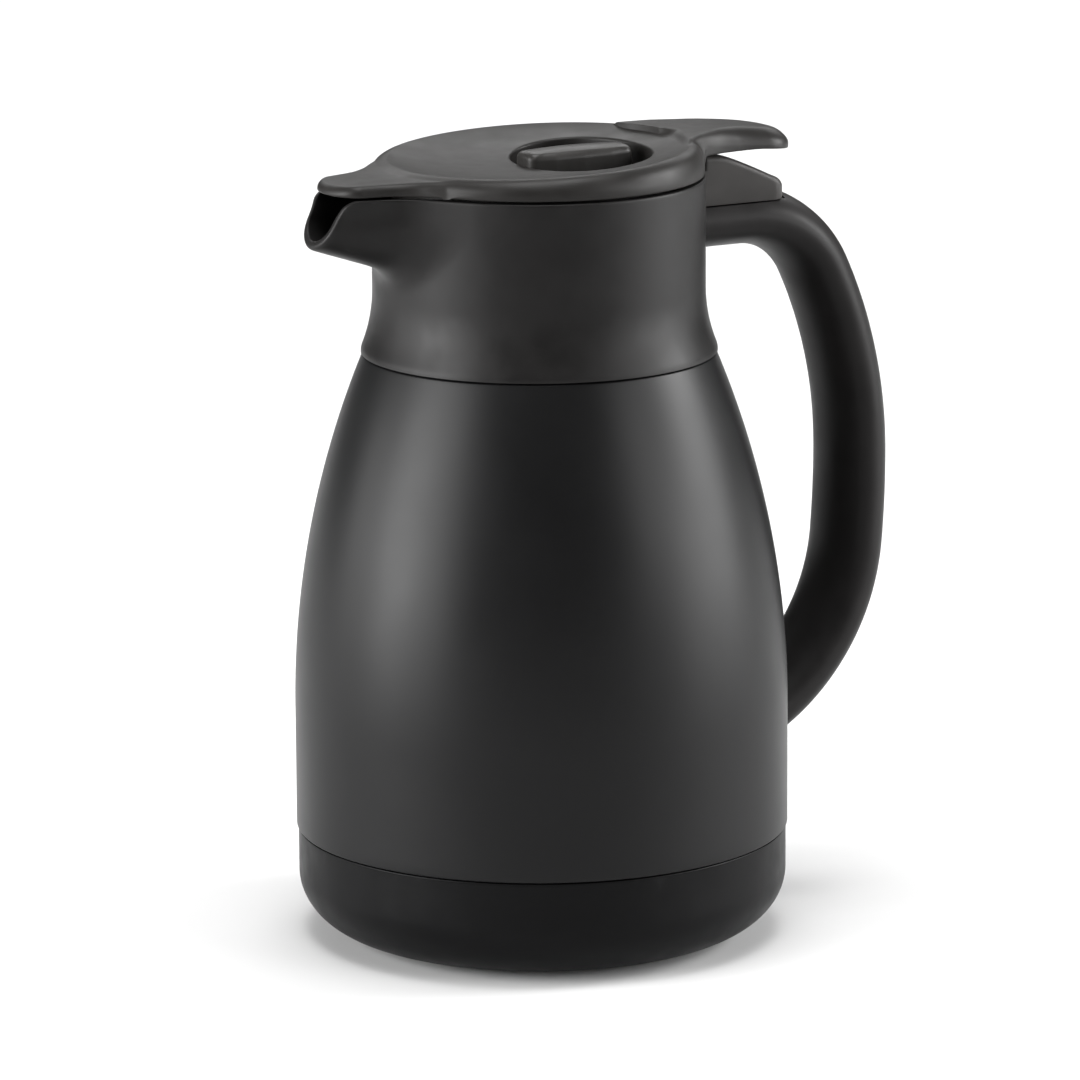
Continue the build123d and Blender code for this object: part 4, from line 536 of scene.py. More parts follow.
# %% [markdown]
# Keepers, lugs, pockets and slots are small plain blocks. They are added or cut with the Manifold
# boolean, which is exact on closed meshes, and the modifier is applied at once.

# %% Blocks, and cutting or adding them
def block(low, high, name="block"):
    """A plain box between two corners in millimetres."""
    spots = [(x, y, z) for z in (low[2], high[2]) for x, y in
             ((low[0], low[1]), (high[0], low[1]), (high[0], high[1]), (low[0], high[1]))]
    sides = [(0, 3, 2, 1), (4, 5, 6, 7), (0, 1, 5, 4), (1, 2, 6, 5), (2, 3, 7, 6), (3, 0, 4, 7)]
    return mesh_object(name, spots, sides)


def across(outline, low, high, name="bar"):
    """A solid whose side view is an outline of (x, z), from y = low to y = high."""
    rings = [[(x, y, z) for x, z in outline] for y in (low, high)]
    return skin(name, rings)


def combined(piece, tools, operation="DIFFERENCE"):
    """The piece with other solids cut away or added."""
    for tool in tools:
        step = piece.modifiers.new("step", "BOOLEAN")
        step.operation = operation
        step.solver = "MANIFOLD"
        step.object = tool
    applied(piece)
    for tool in tools:
        bpy.data.objects.remove(tool)
    piece.data.shade_smooth()
    piece.data.set_sharp_from_angle(angle=SHARP_EDGE)
    return piece


# %% [markdown]
# ## Collar and spout
# The collar is one moulding: a skirt flared over the body's shoulder, a straight barrel, and the
# spout pulled out of it in a soft U. A ray from the axis meets the outside once at every height,
# and the inside once, so the mesh is made of such rays. They are packed closer where the lip
# turns, and each ray's chain of points is smoothed, which rounds the rim as a mould would.

# %% Outside and inside of the collar as distances
COLLAR_RADIUS = 47.0
COLLAR_FOOT_RADIUS = 50.4
COLLAR_FOOT = 168.0
FLARE_TOP = 186.0
FLARE_CURVE = 44.0
COLLAR_TOP = 217.3
COLLAR_BORE = 44.4
SEAT_HEIGHT = 198.0
SPOUT_WALL = 2.0
FLARE_START = 211.0
LIP_CORNER = 215.0
BAND_RADIUS = 49.636
FLOOR_WALL = 1.45
MOUTH_REACH = 64.6
MOUTH_SLOPE = 0.52
MOUTH_FACING = 0.887
SPOUT_FROM = 30
spout_width = through([(36, 24.0), (42, 20.4), (47, 17.1), (52, 14.2), (56, 12.2), (60, 10.7),
                       (64, 9.6), (68, 8.9), (72, 8.7), (80, 8.6)])
spout_flare = through([(50, 0.0), (56, 1.1), (60, 1.7), (64, 2.1), (80, 2.2)])
spout_floor = through([(36, 188.0), (42, 191.4), (52, 196.0), (60, 198.8), (70, 202.2), (80, 205.8)])


def barrel_radius(z):
    """Outside radius of the collar without its spout."""
    flare = COLLAR_RADIUS + FLARE_CURVE - np.sqrt(FLARE_CURVE ** 2 - np.clip(FLARE_TOP - z, 0, 15) ** 2)
    foot = COLLAR_FOOT_RADIUS - np.clip((z - COLLAR_FOOT - 1) / 2, 0, 1) * (COLLAR_FOOT_RADIUS - BAND_RADIUS)
    return np.where(z < COLLAR_FOOT + 3, foot, flare)


def trough(out, y, z, wall):
    """Distance inside the spout's U, made smaller all round by wall."""
    opening = np.clip((z - FLARE_START) / (COLLAR_TOP - FLARE_START), 0, 1) ** 2
    half = spout_width(out) + spout_flare(out) * opening - wall
    low = spout_floor(out) + FLOOR_WALL * wall
    if wall:
        low = np.maximum(low, SEAT_HEIGHT)
    middle = low + half
    return np.where(z > middle, half - np.abs(y), half - np.hypot(y, z - middle))


def collar_outside(z):
    """Barrel and spout together at a height, with the spout cut off along its sloping mouth."""
    def inside(x, y):
        out = -x
        corner = np.clip((z - LIP_CORNER) / (COLLAR_TOP - LIP_CORNER), 0, 1)
        reach = MOUTH_REACH + MOUTH_SLOPE * (COLLAR_TOP - z) - 2.0 * corner ** 2
        mouth = (reach - out) * MOUTH_FACING
        spout = np.where(out > SPOUT_FROM, trimmed(trough(out, y, z, 0.0), mouth, 1.4), -30.0)
        return joined(barrel_radius(z) - np.hypot(x, y), spout, 6.0)
    return inside


def collar_inside(z):
    """Bore and channel together at a height."""
    def inside(x, y):
        channel = np.where(-x > SPOUT_FROM, trough(-x, y, z, SPOUT_WALL), -30.0)
        return joined(COLLAR_BORE - np.hypot(x, y), channel, 2.0)
    return inside


# %% One chain of points for each ray
RAYS = 620
STEP = 0.12
NEAR = 40.0
FAR = 90.0
LIP_SOFTNESS = 0.45
RAY_POINTS = 124
TURN_SPREAD = 3.0
heights = np.arange(COLLAR_FOOT, COLLAR_TOP + 1e-6, STEP)


def lip_height(angles):
    """Height at which the collar ends along each ray, and how far out that is."""
    rows = heights[heights > SEAT_HEIGHT + 2][:, None]
    turn = np.broadcast_to(angles, (len(rows), len(angles)))
    outer = edge_along(turn, collar_outside(rows), NEAR, FAR)
    inner = edge_along(turn, collar_inside(rows), NEAR, FAR)
    solid = outer - inner > 0.05
    last = len(rows) - 1 - np.argmax(solid[::-1], axis=0)
    return rows[last, 0], outer[last, np.arange(len(angles))]


fine = np.linspace(-pi, pi, 2881)
lip, reach = lip_height(fine)
steps = np.sqrt(np.diff(reach * np.cos(fine)) ** 2 + np.diff(reach * np.sin(fine)) ** 2 + np.diff(lip) ** 2)
along = np.concatenate([[0], np.cumsum(steps)])
ray_angles = np.interp(np.linspace(0, along[-1], RAYS, endpoint=False), along, fine)
print("lip length", round(along[-1], 1), "mm, lowest point of the lip", round(lip.min(), 1))


def softened(chain, sigma):
    """A chain of points spaced evenly, then smoothed along its length."""
    length = np.concatenate([[0], np.cumsum(np.linalg.norm(np.diff(chain, axis=0), axis=1))])
    even = np.arange(0, length[-1], STEP)
    chain = np.stack([np.interp(even, length, chain[:, k]) for k in range(2)], axis=1)
    reach = int(4 * sigma / STEP)
    weight = np.exp(-0.5 * (np.arange(-reach, reach + 1) * STEP / sigma) ** 2)
    weight /= weight.sum()
    padded = np.pad(chain, ((reach, reach), (0, 0)), mode="edge")
    smooth = np.stack([np.convolve(padded[:, k], weight, mode="valid") for k in range(2)], axis=1)
    smooth[0], smooth[-1] = chain[0], chain[-1]
    return smooth


def resampled(chain, count, turn_at):
    """The chain as count points, closest together near its turn."""
    length = np.concatenate([[0], np.cumsum(np.linalg.norm(np.diff(chain, axis=0), axis=1))])
    middle = length[turn_at]
    density = 1 + 7 * np.exp(-((length - middle) / TURN_SPREAD) ** 2)
    total = np.concatenate([[0], np.cumsum((density[1:] + density[:-1]) / 2 * np.diff(length))])
    at = np.interp(np.linspace(0, total[-1], count), total, length)
    return np.stack([np.interp(at, length, chain[:, k]) for k in range(2)], axis=1)


lip, reach = lip_height(ray_angles)
grid = np.broadcast_to(ray_angles, (len(heights), RAYS))
outer = edge_along(grid, collar_outside(heights[:, None]), NEAR, FAR)
inner_rows = heights[heights >= SEAT_HEIGHT]
inner = edge_along(grid[: len(inner_rows)], collar_inside(inner_rows[:, None]), NEAR, FAR)
columns = []
for i in range(RAYS):
    outside = np.stack([outer[:, i], heights], axis=1)[heights <= lip[i] + 1e-6]
    inside = np.stack([inner[:, i], inner_rows], axis=1)[inner_rows <= lip[i] + 1e-6][::-1]
    chain = softened(np.vstack([outside, inside]), LIP_SOFTNESS)
    turn_at = np.argmax(chain[:, 1])
    columns.append(resampled(chain, RAY_POINTS, turn_at))
columns = np.array(columns)


# %% The collar's mesh, closed under its skirt
def ray_ring(radius, height):
    """A ring with one point on each ray."""
    return np.column_stack([radius * np.cos(ray_angles), radius * np.sin(ray_angles),
                            np.broadcast_to(height, RAYS)])


# The lip over the flask's mouth, the sleeve round its neck, then the inside of the skirt.
UNDERSIDE = [(36.2, SEAT_HEIGHT), (36.2, 196.4), (40.2, 196.4), (40.2, 176.5), (42.2, 176.5),
             (42.2, 193.0), (44.6, 193.0), (44.6, 186.0), (46.2, 176.0), (COLLAR_FOOT_RADIUS - 2.4, 169.0)]
rings = [ray_ring(columns[:, k, 0], columns[:, k, 1]) for k in range(RAY_POINTS)]
rings += [ray_ring(radius, height) for radius, height in UNDERSIDE]
collar = skin("collar_spout", rings, loop=True)

# %% Keepers, tenon and rail on the collar
KNOB_X = 11.5
KEEPER_HALF = 4.8
KEEPER_OUTSIDE = 45.7
KEEPER_INSIDE = 42.2
KEEPER_HEIGHTS = (212.9, 215.4)


def keeper(side):
    """A rib that follows the inside of the barrel, for a bolt to pass under."""
    run = np.linspace(KNOB_X - KEEPER_HALF, KNOB_X + KEEPER_HALF, 9)
    plan = [(x, sqrt(KEEPER_OUTSIDE ** 2 - x * x)) for x in run]
    plan += [(x, sqrt(KEEPER_INSIDE ** 2 - x * x)) for x in run[::-1]]
    return skin("keeper", [[(x, side * y, z) for x, y in plan] for z in KEEPER_HEIGHTS])


tenon = block((45.5, -7, 197.0), (60.0, 7, 203.6))
rail = [block((46.5, -3, 206.4), (49.3, 3, 211.6)), block((49.0, -5, 206.4), (50.8, 5, 211.6))]
combined(collar, [keeper(1), keeper(-1), tenon] + rail, "UNION")
dress(collar, "carafe", "collar_plastic", "collar_grain", "collar")

# %% [markdown]
# ## Lid
# The lid is a dish with a soft shoulder. A thin tongue covers the spout, a thumb lever
# rises over the hinge, and an oval finger well holds the knob. Seen from above, its outline is
# met once by every ray from the axis, so it is a stack of rings again: out over the top, round
# the edge and back underneath. The heights of dish, tongue and lever join with a small fillet.

# %% The lid's outline
LID_RADIUS = 46.8
CREST_RADIUS = 42.6
CREST = 224.7
LID_CENTRE = 221.0
LID_TILT = 0.044
LID_EDGE = 219.4
LID_BOTTOM = 217.9
TONGUE_TIP = 67.1
TONGUE_TIP_LENGTH = 7.0
LEVER_TIP = 78.9
LEVER_TIP_LENGTH = 11.0
tongue_side = through([(34, 28.0), (41, 22.6), (44, 19.9), (47, 17.0), (50, 14.9), (53, 13.4),
                       (58, 12.0), (61, 11.4)])
lever_side = through([(30, 24.6), (34, 23.0), (37, 21.0), (40, 19.0), (44, 16.8), (50, 14.3),
                      (58, 12.8), (69, 12.3)])
tongue_top = through([(36, 222.7), (42, 222.1), (46, 221.75), (50, 221.4), (56, 221.2), (62, 221.0),
                      (68, 220.3)])
lever_top = through([(34, 226.7), (38, 227.3), (43, 227.8), (50, 228.04), (56, 228.04), (62, 227.6),
                     (70, 226.6), (75, 225.7), (79.3, 224.4)])


def blade(out, y, side, tip, tip_length):
    """Distance inside a tongue's plan, whose tip is half an oval."""
    start = tip - tip_length
    half = side(start)
    base = side(np.minimum(out, start))
    growth = (side(np.minimum(out, start) + 0.05) - side(np.minimum(out, start) - 0.05)) / 0.1
    over = np.clip((out - start) / tip_length, 0, None)
    width = np.where(out < start, base ** 2, half ** 2 * (1 - over ** 2))
    change = np.where(out < start, 2 * base * growth, -2 * half ** 2 * over / tip_length)
    return np.clip((width - y ** 2) / np.sqrt(change ** 2 + 4 * y ** 2 + 1e-6), -40, 40)


def tongue_plan(x, y):
    return np.where(x < -30, blade(-x, y, tongue_side, TONGUE_TIP, TONGUE_TIP_LENGTH), -40.0)


def lever_plan(x, y):
    return np.where(x > 30, blade(x, y, lever_side, LEVER_TIP, LEVER_TIP_LENGTH), -40.0)


def lid_plan(x, y):
    with_tongue = joined(LID_RADIUS - np.hypot(x, y), tongue_plan(x, y), 3.0)
    return joined(with_tongue, lever_plan(x, y), 1.6)


# %% The lid's heights
FALL = 3
LEVER_ROLL_AT = [34, 44, 52, 58, 70, 79]
LEVER_ROLL_WIDTH = [1.2, 2.2, 4.0, 6.2, 8.0, 5.6]
LEVER_ROLL_HEIGHT = [2.4, 3.6, 4.8, 5.2, 4.8, 3.4]


def dish(x, y):
    """Height of the plain round lid, which tips up a little towards the handle."""
    radius = np.hypot(x, y)
    rise = LID_TILT * x
    edge = np.clip((radius - CREST_RADIUS) / (LID_RADIUS - CREST_RADIUS), 0, 1)
    shoulder = LID_EDGE + (CREST + rise - LID_EDGE) * np.sqrt(1 - edge ** 2)
    low = LID_CENTRE + (CREST - LID_CENTRE) * (radius / CREST_RADIUS) ** 3 + rise
    return np.where(radius < CREST_RADIUS, low, shoulder - FALL * np.clip(radius - LID_RADIUS, 0, None))


def rolled(top, within, high, wide):
    """A top surface whose edge rolls down by high over the width wide, and falls away outside."""
    edge = np.clip(1 - within / wide, 0, 1)
    return top - high * (1 - np.sqrt(1 - edge ** 2)) - FALL * np.clip(-within, 0, None)


def lid_height(x, y, lever=True):
    """Height of the lid's top, with its tongue and, unless told otherwise, its lever."""
    height = dish(x, y)
    tongue = rolled(tongue_top(-x), tongue_plan(x, y), 2.1, 2.2)
    tongue -= FALL * np.clip(CREST_RADIUS - 0.5 - np.hypot(x, y), 0, None)
    height = np.where(x < -34, joined(height, tongue, 0.6), height)
    if lever:
        wide = np.interp(x, LEVER_ROLL_AT, LEVER_ROLL_WIDTH)
        high = np.interp(x, LEVER_ROLL_AT, LEVER_ROLL_HEIGHT)
        arm = rolled(lever_top(x), lever_plan(x, y), high, wide)
        height = np.where(x > 32, joined(height, arm, 1.2), height)
    return height


# %% The lid's rings
LID_RAYS = 640
WELL_X = 13.6
WELL_LENGTH = 18.5
WELL_WIDTH = 24.7
WELL_FLOOR = 214.5
WELL_UNDER = 212.7
WELL_CORNER = 2.2
WELL_RIM = 0.7
SHAFT_HOLE = 4.05
STEP_RADIUS = 39.8
LID_UNDER = 219.4
LEVER_UNDER = 221.5


def lid_edge_at(angles):
    return edge_along(angles, lid_plan, 40.0, 84.0)


turn = even_angles(lid_edge_at, LID_RAYS)
outline = lid_edge_at(turn)
way = np.stack([np.cos(turn), np.sin(turn)], axis=1)
lid_rings = []


def add_ring(plan, z):
    """One more ring of the lid, from its plan and its height."""
    lid_rings.append(np.column_stack([plan, np.broadcast_to(z, LID_RAYS)]))


def surface_ring(plan, drop=0.0):
    """A ring that lies on the plain dish, or a little below it."""
    add_ring(plan, dish(*plan.T) - drop)


# %% The lever's front face and the well
# The face stands on a circle, crisp on the far side and soft on the near side.
degrees = np.degrees(turn)
step_start = STEP_RADIUS + 2.4 * np.clip((np.abs(degrees) - 20) / 12, 0, 1) ** 2
step_width = 0.3 + 2.8 * np.clip((3 - degrees) / 9, 0, 1) * np.clip((degrees + 44) / 8, 0, 1)
inner_plan = way * (step_start - 0.05)[:, None]
well_way = inner_plan - np.array([WELL_X, 0.0])
well_way /= np.linalg.norm(well_way, axis=1)[:, None]


def oval(grow):
    """The well's outline, grown all round."""
    a, b = WELL_LENGTH + grow, WELL_WIDTH + grow
    size = 1 / np.sqrt((well_way[:, 0] / a) ** 2 + (well_way[:, 1] / b) ** 2)
    return well_way * size[:, None] + np.array([WELL_X, 0.0])


def bore(radius):
    """A circle round the knob's shaft."""
    return well_way * radius + np.array([KNOB_X, 0.0])


add_ring(bore(SHAFT_HOLE), WELL_UNDER)
add_ring(bore(SHAFT_HOLE), WELL_FLOOR - 0.25)
add_ring(bore(SHAFT_HOLE + 0.25), WELL_FLOOR)
for part in (0.35, 0.7):
    add_ring(bore(SHAFT_HOLE + 0.25) * (1 - part) + oval(-WELL_CORNER) * part, WELL_FLOOR)
for t in np.linspace(0, pi / 2, 7):
    add_ring(oval(-WELL_CORNER * (1 - sin(t))), WELL_FLOOR + WELL_CORNER * (1 - cos(t)))
rim_height = dish(*oval(0.0).T)
wall_height = rim_height - WELL_RIM - WELL_FLOOR - WELL_CORNER
for part in (0.3, 0.6, 0.85):
    add_ring(oval(0.0), WELL_FLOOR + WELL_CORNER + wall_height * part)
for t in np.linspace(0, pi / 2, 7):
    surface_ring(oval(WELL_RIM * (1 - cos(t))), WELL_RIM * (1 - sin(t)))

# %% Over the top and out to the edge
for part in np.linspace(0, 1, 20)[1:]:
    surface_ring(oval(WELL_RIM) * (1 - part) + inner_plan * part)
for part in np.linspace(0, 1, 10):
    plan = way * (step_start + step_width * part)[:, None]
    low, high = lid_height(*plan.T, lever=False), lid_height(*plan.T)
    add_ring(plan, low + (high - low) * part * part * (3 - 2 * part))
rest = outline - step_start - step_width
for part in np.sin(np.linspace(0, pi / 2, 54))[1:]:
    plan = way * (step_start + step_width + rest * part)[:, None]
    add_ring(plan, lid_height(*plan.T))

# %% The lid's edge, underside and skirt
LEVER_DROP = 1.6
LEVER_DROP_FROM = 63
LEVER_DROP_LENGTH = 15
EDGE_ROUND = 0.4
on_lever = np.clip(outline - 47.0, 0, 1) * (way[:, 0] > 0)


def underside(plan):
    """Height of the lid's underside, which falls a little at the lever's tip."""
    drop = np.clip((plan[:, 0] - LEVER_DROP_FROM) / LEVER_DROP_LENGTH, 0, 1) ** 1.6
    lever = LEVER_UNDER - LEVER_DROP * drop
    return LID_BOTTOM + (lever - LID_BOTTOM) * on_lever


edge_height = lid_rings[-1][:, 2]
for inset, lift in ((0.0, 0.55), (0.05, 0.3), (0.18, 0.1), (EDGE_ROUND, 0.0)):
    plan = way * (outline - inset)[:, None]
    add_ring(plan, np.minimum(underside(plan) + lift, edge_height - 0.02 * (1 - lift)))
for part in (0.2, 0.4, 0.6, 0.8, 1.0):
    across_it = (outline - EDGE_ROUND) * (1 - part) + np.minimum(outline, LID_RADIUS - EDGE_ROUND) * part
    plan = way * across_it[:, None]
    add_ring(plan, underside(plan))
SKIRT_OUTSIDE = 41.4
SKIRT_INSIDE = 39.2
SKIRT_FOOT = 203.0
for radius, height in ((LID_RADIUS - EDGE_ROUND, LID_BOTTOM), (SKIRT_OUTSIDE + 0.5, LID_BOTTOM),
                       (SKIRT_OUTSIDE, LID_BOTTOM - 0.5), (SKIRT_OUTSIDE, 209.0),
                       (SKIRT_OUTSIDE, SKIRT_FOOT + 0.3), (SKIRT_OUTSIDE - 0.3, SKIRT_FOOT),
                       (SKIRT_INSIDE, SKIRT_FOOT), (SKIRT_INSIDE, LID_UNDER)):
    add_ring(way * radius, height)
add_ring(oval(1.8), LID_UNDER)
add_ring(oval(1.8), WELL_UNDER)
lid = skin("lid_cover_shell", lid_rings, loop=True)

# %% Hinge lug and bolt windows
PIVOT = (51.0, 217.6)
LUG_RADIUS = 3.4
LUG_TOP = 223.0
WINDOW_HALF = 3.9
WINDOW_HEIGHTS = (209.4, 212.6)


def round_bar(radius, low, high, name="round_bar", segments=48):
    """A round bar along Y at the hinge pin's place."""
    angles = np.linspace(0, 2 * pi, segments, endpoint=False)
    return across([(PIVOT[0] + radius * cos(a), PIVOT[1] + radius * sin(a)) for a in angles], low, high, name)


lug_side = [(PIVOT[0] + LUG_RADIUS * cos(a), PIVOT[1] + LUG_RADIUS * sin(a))
            for a in np.linspace(-pi, 0, 25)]
lug_side += [(PIVOT[0] + LUG_RADIUS, LUG_TOP), (PIVOT[0] - LUG_RADIUS, LUG_TOP)]
combined(lid, [across(lug_side, -4.2, 7.9, "lug")], "UNION")
windows = [block((KNOB_X - WINDOW_HALF, low, WINDOW_HEIGHTS[0]),
                 (KNOB_X + WINDOW_HALF, low + 10, WINDOW_HEIGHTS[1])) for low in (33.0, -43.0)]
combined(lid, [round_bar(1.55, -5.0, 9.0)] + windows)
dress(lid, "lid", "lid_plastic", "lid_grain", "lid_cover")
lid_top = max(ring[:, 2].max() for ring in lid_rings)
print("lid top", round(lid_top, 2), "mm, lever tip", round(outline.max(), 1))

# %% [markdown]
# ## Turn knob
# The knob locks and opens the lid: a disc that turns in the well, with a bar to hold between two
# fingers. Seen from above the bar is boat shaped with blunt ends, and its top is crowned, so a
# ridge of light runs along it. It is made of loops that shrink from its outline to its middle.

# %% A crowned top over an outline
def crowned(outline, centre, top, high, wide, steps=28):
    """Rings from the middle of an outline to its edge, under a top that rolls down at the edge."""
    centre = np.array(centre)
    ray = outline - centre
    tangent = np.roll(outline, -1, axis=0) - np.roll(outline, 1, axis=0)
    normal = np.stack([tangent[:, 1], -tangent[:, 0]], axis=1)
    normal /= np.linalg.norm(normal, axis=1)[:, None]
    depth = np.abs((ray * normal).sum(axis=1))
    made = []
    for t in np.sin(np.linspace(0, pi / 2, steps))[1:]:
        plan = centre + ray * t
        made.append(np.column_stack([plan, rolled(top(*plan.T), depth * (1 - t), high, wide)]))
    return made


def level(plan, z):
    """A ring at one height, or at one height for each of its points."""
    return np.column_stack([plan, np.broadcast_to(z, len(plan))])


# %% Disc, shaft and bar
BAR_TOP = 225.2
BAR_ROLL = 1.7
DISC_TOP = 217.2
DISC_UNDER = 214.9
DISC_RADIUS = 16.8
SHAFT_RADIUS = 4.0
disc_line = rounded([(0.0, 207.2, 0), (3.0, 207.2, 0.2), (3.0, 209.5, 0), (SHAFT_RADIUS, 209.5, 0.2),
                     (SHAFT_RADIUS, DISC_UNDER, 0), (DISC_RADIUS, DISC_UNDER, 0.3),
                     (DISC_RADIUS, DISC_TOP, 0.7), (0.0, DISC_TOP, 0)])
knob = turned("turn_knob", spaced(disc_line, 1.5)[1:-1], segments=200, loop=False, centre=(KNOB_X, 0.0))
half_bar = [(-16.6, 0.0, 0), (-16.4, 4.9, 2.6), (-9.0, 6.1, 0), (0.0, 6.5, 0), (9.0, 6.1, 0),
            (16.4, 4.9, 2.6)]
bar_plan = half_bar + [(16.6, 0.0, 0)] + [(x, -y, r) for x, y, r in half_bar[1:][::-1]]
bar_plan = spaced(rounded(bar_plan, closed=True), 0.5, closed=True) + np.array([KNOB_X, 0.0])


def bar_top(x, y):
    """The bar's crown, which falls more across it than along it."""
    return BAR_TOP - 0.028 * y ** 2 - 0.0022 * (x - KNOB_X) ** 2


bar_rings = crowned(bar_plan, (KNOB_X, 0.0), bar_top, BAR_ROLL, BAR_ROLL)
edge = bar_rings[-1][:, 2]
for share, grow in ((0.35, 0.08), (0.7, 0.16), (0.93, 0.25), (1.0, 0.6)):
    plan = bar_plan + (bar_plan - [KNOB_X, 0.0]) * grow / 16
    bar_rings.append(level(plan, edge + (DISC_TOP - 0.4 - edge) * share))
grip = skin("grip_bar", bar_rings)
combined(knob, [grip], "UNION")
dress(knob, "knob", "knob_plastic", "knob_grain", "lock_knob")

# %% [markdown]
# ## Hinge block
# A wedge rides on a rail of the collar, carries the hinge pin and closes the gap between the lid
# and the handle's arm. Its top falls away under the lever in a slope with softly rolled edges, and
# its rear ends in round corners. It gets its pocket for the lug and spring, its slot for the rail
# and its hollow underside from booleans, as they only show with the lid open.

# %% Wedge
BLOCK_HALF = 12.0
BLOCK_FRONT = 48.3
BLOCK_REAR = 74.0
BLOCK_BOTTOM = 206.4
BLOCK_MIDDLE = (59.0, 0.0)
BLOCK_ROLL = 1.9
front = [(sqrt(BLOCK_FRONT ** 2 - y * y), y, 0) for y in np.linspace(-10, 10, 21)]
corner = sqrt(BLOCK_FRONT ** 2 - BLOCK_HALF ** 2)
block_plan = front + [(corner, BLOCK_HALF, 3.2), (BLOCK_REAR, BLOCK_HALF, 4.5),
                      (BLOCK_REAR, -BLOCK_HALF, 4.5), (corner, -BLOCK_HALF, 3.2)]
block_plan = spaced(rounded(block_plan, closed=True), 0.5, closed=True)
slope = through([(44, 220.9), (49.5, 220.9), (52.5, 220.5), (56.5, 219.2), (61, 217.3), (65, 215.5),
                 (68.6, 213.8), (72, 212.3), (74, 211.3)])
rings = crowned(block_plan, BLOCK_MIDDLE, lambda x, y: slope(x), BLOCK_ROLL, BLOCK_ROLL, steps=44)
edge = rings[-1][:, 2]
pulled = block_plan - np.column_stack([0.9 * (block_plan[:, 0] < 48.6), np.zeros(len(block_plan))])
rings += [level(block_plan, np.minimum(edge, 216.5)), level(pulled, np.minimum(edge, 216.5)),
          level(pulled, np.minimum(edge, 211.0)), level(pulled, BLOCK_BOTTOM + 0.3),
          level(pulled + (BLOCK_MIDDLE - pulled) * 0.01, BLOCK_BOTTOM)]
wedge = skin("hinge_wedge", rings)
pocket = block((44.2, -8.4, 213.4), (57.8, 8.4, 224.0))
slot = [block((45.0, -3.3, 206.0), (49.1, 3.3, 212.0)), block((48.7, -5.3, 206.0), (51.1, 5.3, 212.0))]
core = across([(59.6, 206.0), (70.0, 206.0), (70.0, 209.2), (59.6, 213.6)], -9.6, 9.6, "core")
combined(wedge, [pocket, core, round_bar(1.52, -11.0, 13.0)] + slot)
dress(wedge, "lid_unit", "hinge_plastic", "hinge_grain", "hinge_block")

# %% [markdown]
# ## Loop handle
# The handle is one oval bar bent through four arcs: out of the collar, round the top, a long flat
# back and a sweep into the belly. A shape that follows a path is a task for Geometry Nodes: the
# path goes in as a line of points, and the tree sweeps an oval along it. The two ends are then
# laid on the collar and on the belly.

# %% The handle's path
def bend(path, heading, radius, angle, steps):
    """Carries the path on round an arc that turns right, and returns the new heading."""
    start = np.array(path[-1])
    middle = start + radius * np.array([sin(heading), -cos(heading)])
    for turned_by in np.linspace(0, angle, steps + 1)[1:]:
        c, s = cos(-turned_by), sin(-turned_by)
        arm = start - middle
        path.append(tuple(middle + np.array([c * arm[0] - s * arm[1], s * arm[0] + c * arm[1]])))
    return heading - angle


ARM_HEIGHT = 201.5
# Radius in millimetres, angle in degrees and number of steps of each arc, from the collar down.
HANDLE_ARCS = ((30.0, 64.5, 34), (129.0, 25.5, 40), (290.0, 5.0, 18), (61.5, 75.0, 66))
path = [(x, ARM_HEIGHT) for x in np.linspace(46.5, 62.0, 9)]
heading = 0.0
for radius, angle, count in HANDLE_ARCS:
    heading = bend(path, heading, radius, radians(angle), count)
path = [spot for spot in path if not (spot[1] < 100 and spot[0] < 71.4)]
print("handle path:", len(path), "points, ends at", np.round(path[-1], 1))

# %% Oval swept along the path by Geometry Nodes
GRIP_HALF_WIDTH = 14.6
GRIP_HALF_DEPTH = 8.6
GRIP_SIDES = 72


def sweep_tree(look):
    """A tree that sweeps an oval along the line that comes in."""
    tree, start, end = tree_begun("oval_sweep", ("Half width", "Half depth"), ("Sides",))
    add, link = tree.nodes.new, tree.links.new
    line = add("GeometryNodeMeshToCurve")
    link(start.outputs["Geometry"], line.inputs["Mesh"])
    upright = add("GeometryNodeSetCurveNormal")
    upright.mode = "FREE"
    upright.inputs["Normal"].default_value = (0, 1, 0)
    link(line.outputs["Curve"], upright.inputs["Curve"])
    unit = add("GeometryNodeCurvePrimitiveCircle")
    unit.inputs["Radius"].default_value = 1.0
    link(start.outputs["Sides"], unit.inputs["Resolution"])
    stretch = add("ShaderNodeCombineXYZ")
    link(start.outputs["Half width"], stretch.inputs["X"])
    link(start.outputs["Half depth"], stretch.inputs["Y"])
    stretch.inputs["Z"].default_value = 1.0
    shaped = add("GeometryNodeTransform")
    link(unit.outputs["Curve"], shaped.inputs["Geometry"])
    link(stretch.outputs["Vector"], shaped.inputs["Scale"])
    swept = add("GeometryNodeCurveToMesh")
    swept.inputs["Fill Caps"].default_value = True
    link(upright.outputs["Curve"], swept.inputs["Curve"])
    link(shaped.outputs["Geometry"], swept.inputs["Profile Curve"])
    return tree_ended(tree, swept.outputs["Mesh"], end, look)


line_mesh = bpy.data.meshes.new("loop_handle")
links = [(i, i + 1) for i in range(len(path) - 1)]
line_mesh.from_pydata([(x * MM, 0, z * MM) for x, z in path], links, [])
handle = bpy.data.objects.new("loop_handle", line_mesh)
bpy.context.scene.collection.objects.link(handle)
sweep = handle.modifiers.new("sweep", "NODES")
sweep.node_group = sweep_tree(finishes["handle_grain"])
set_inputs(sweep, half_width=GRIP_HALF_WIDTH * MM, half_depth=GRIP_HALF_DEPTH * MM, sides=GRIP_SIDES)
applied(handle)
print("handle sweep:", len(handle.data.vertices), "points")

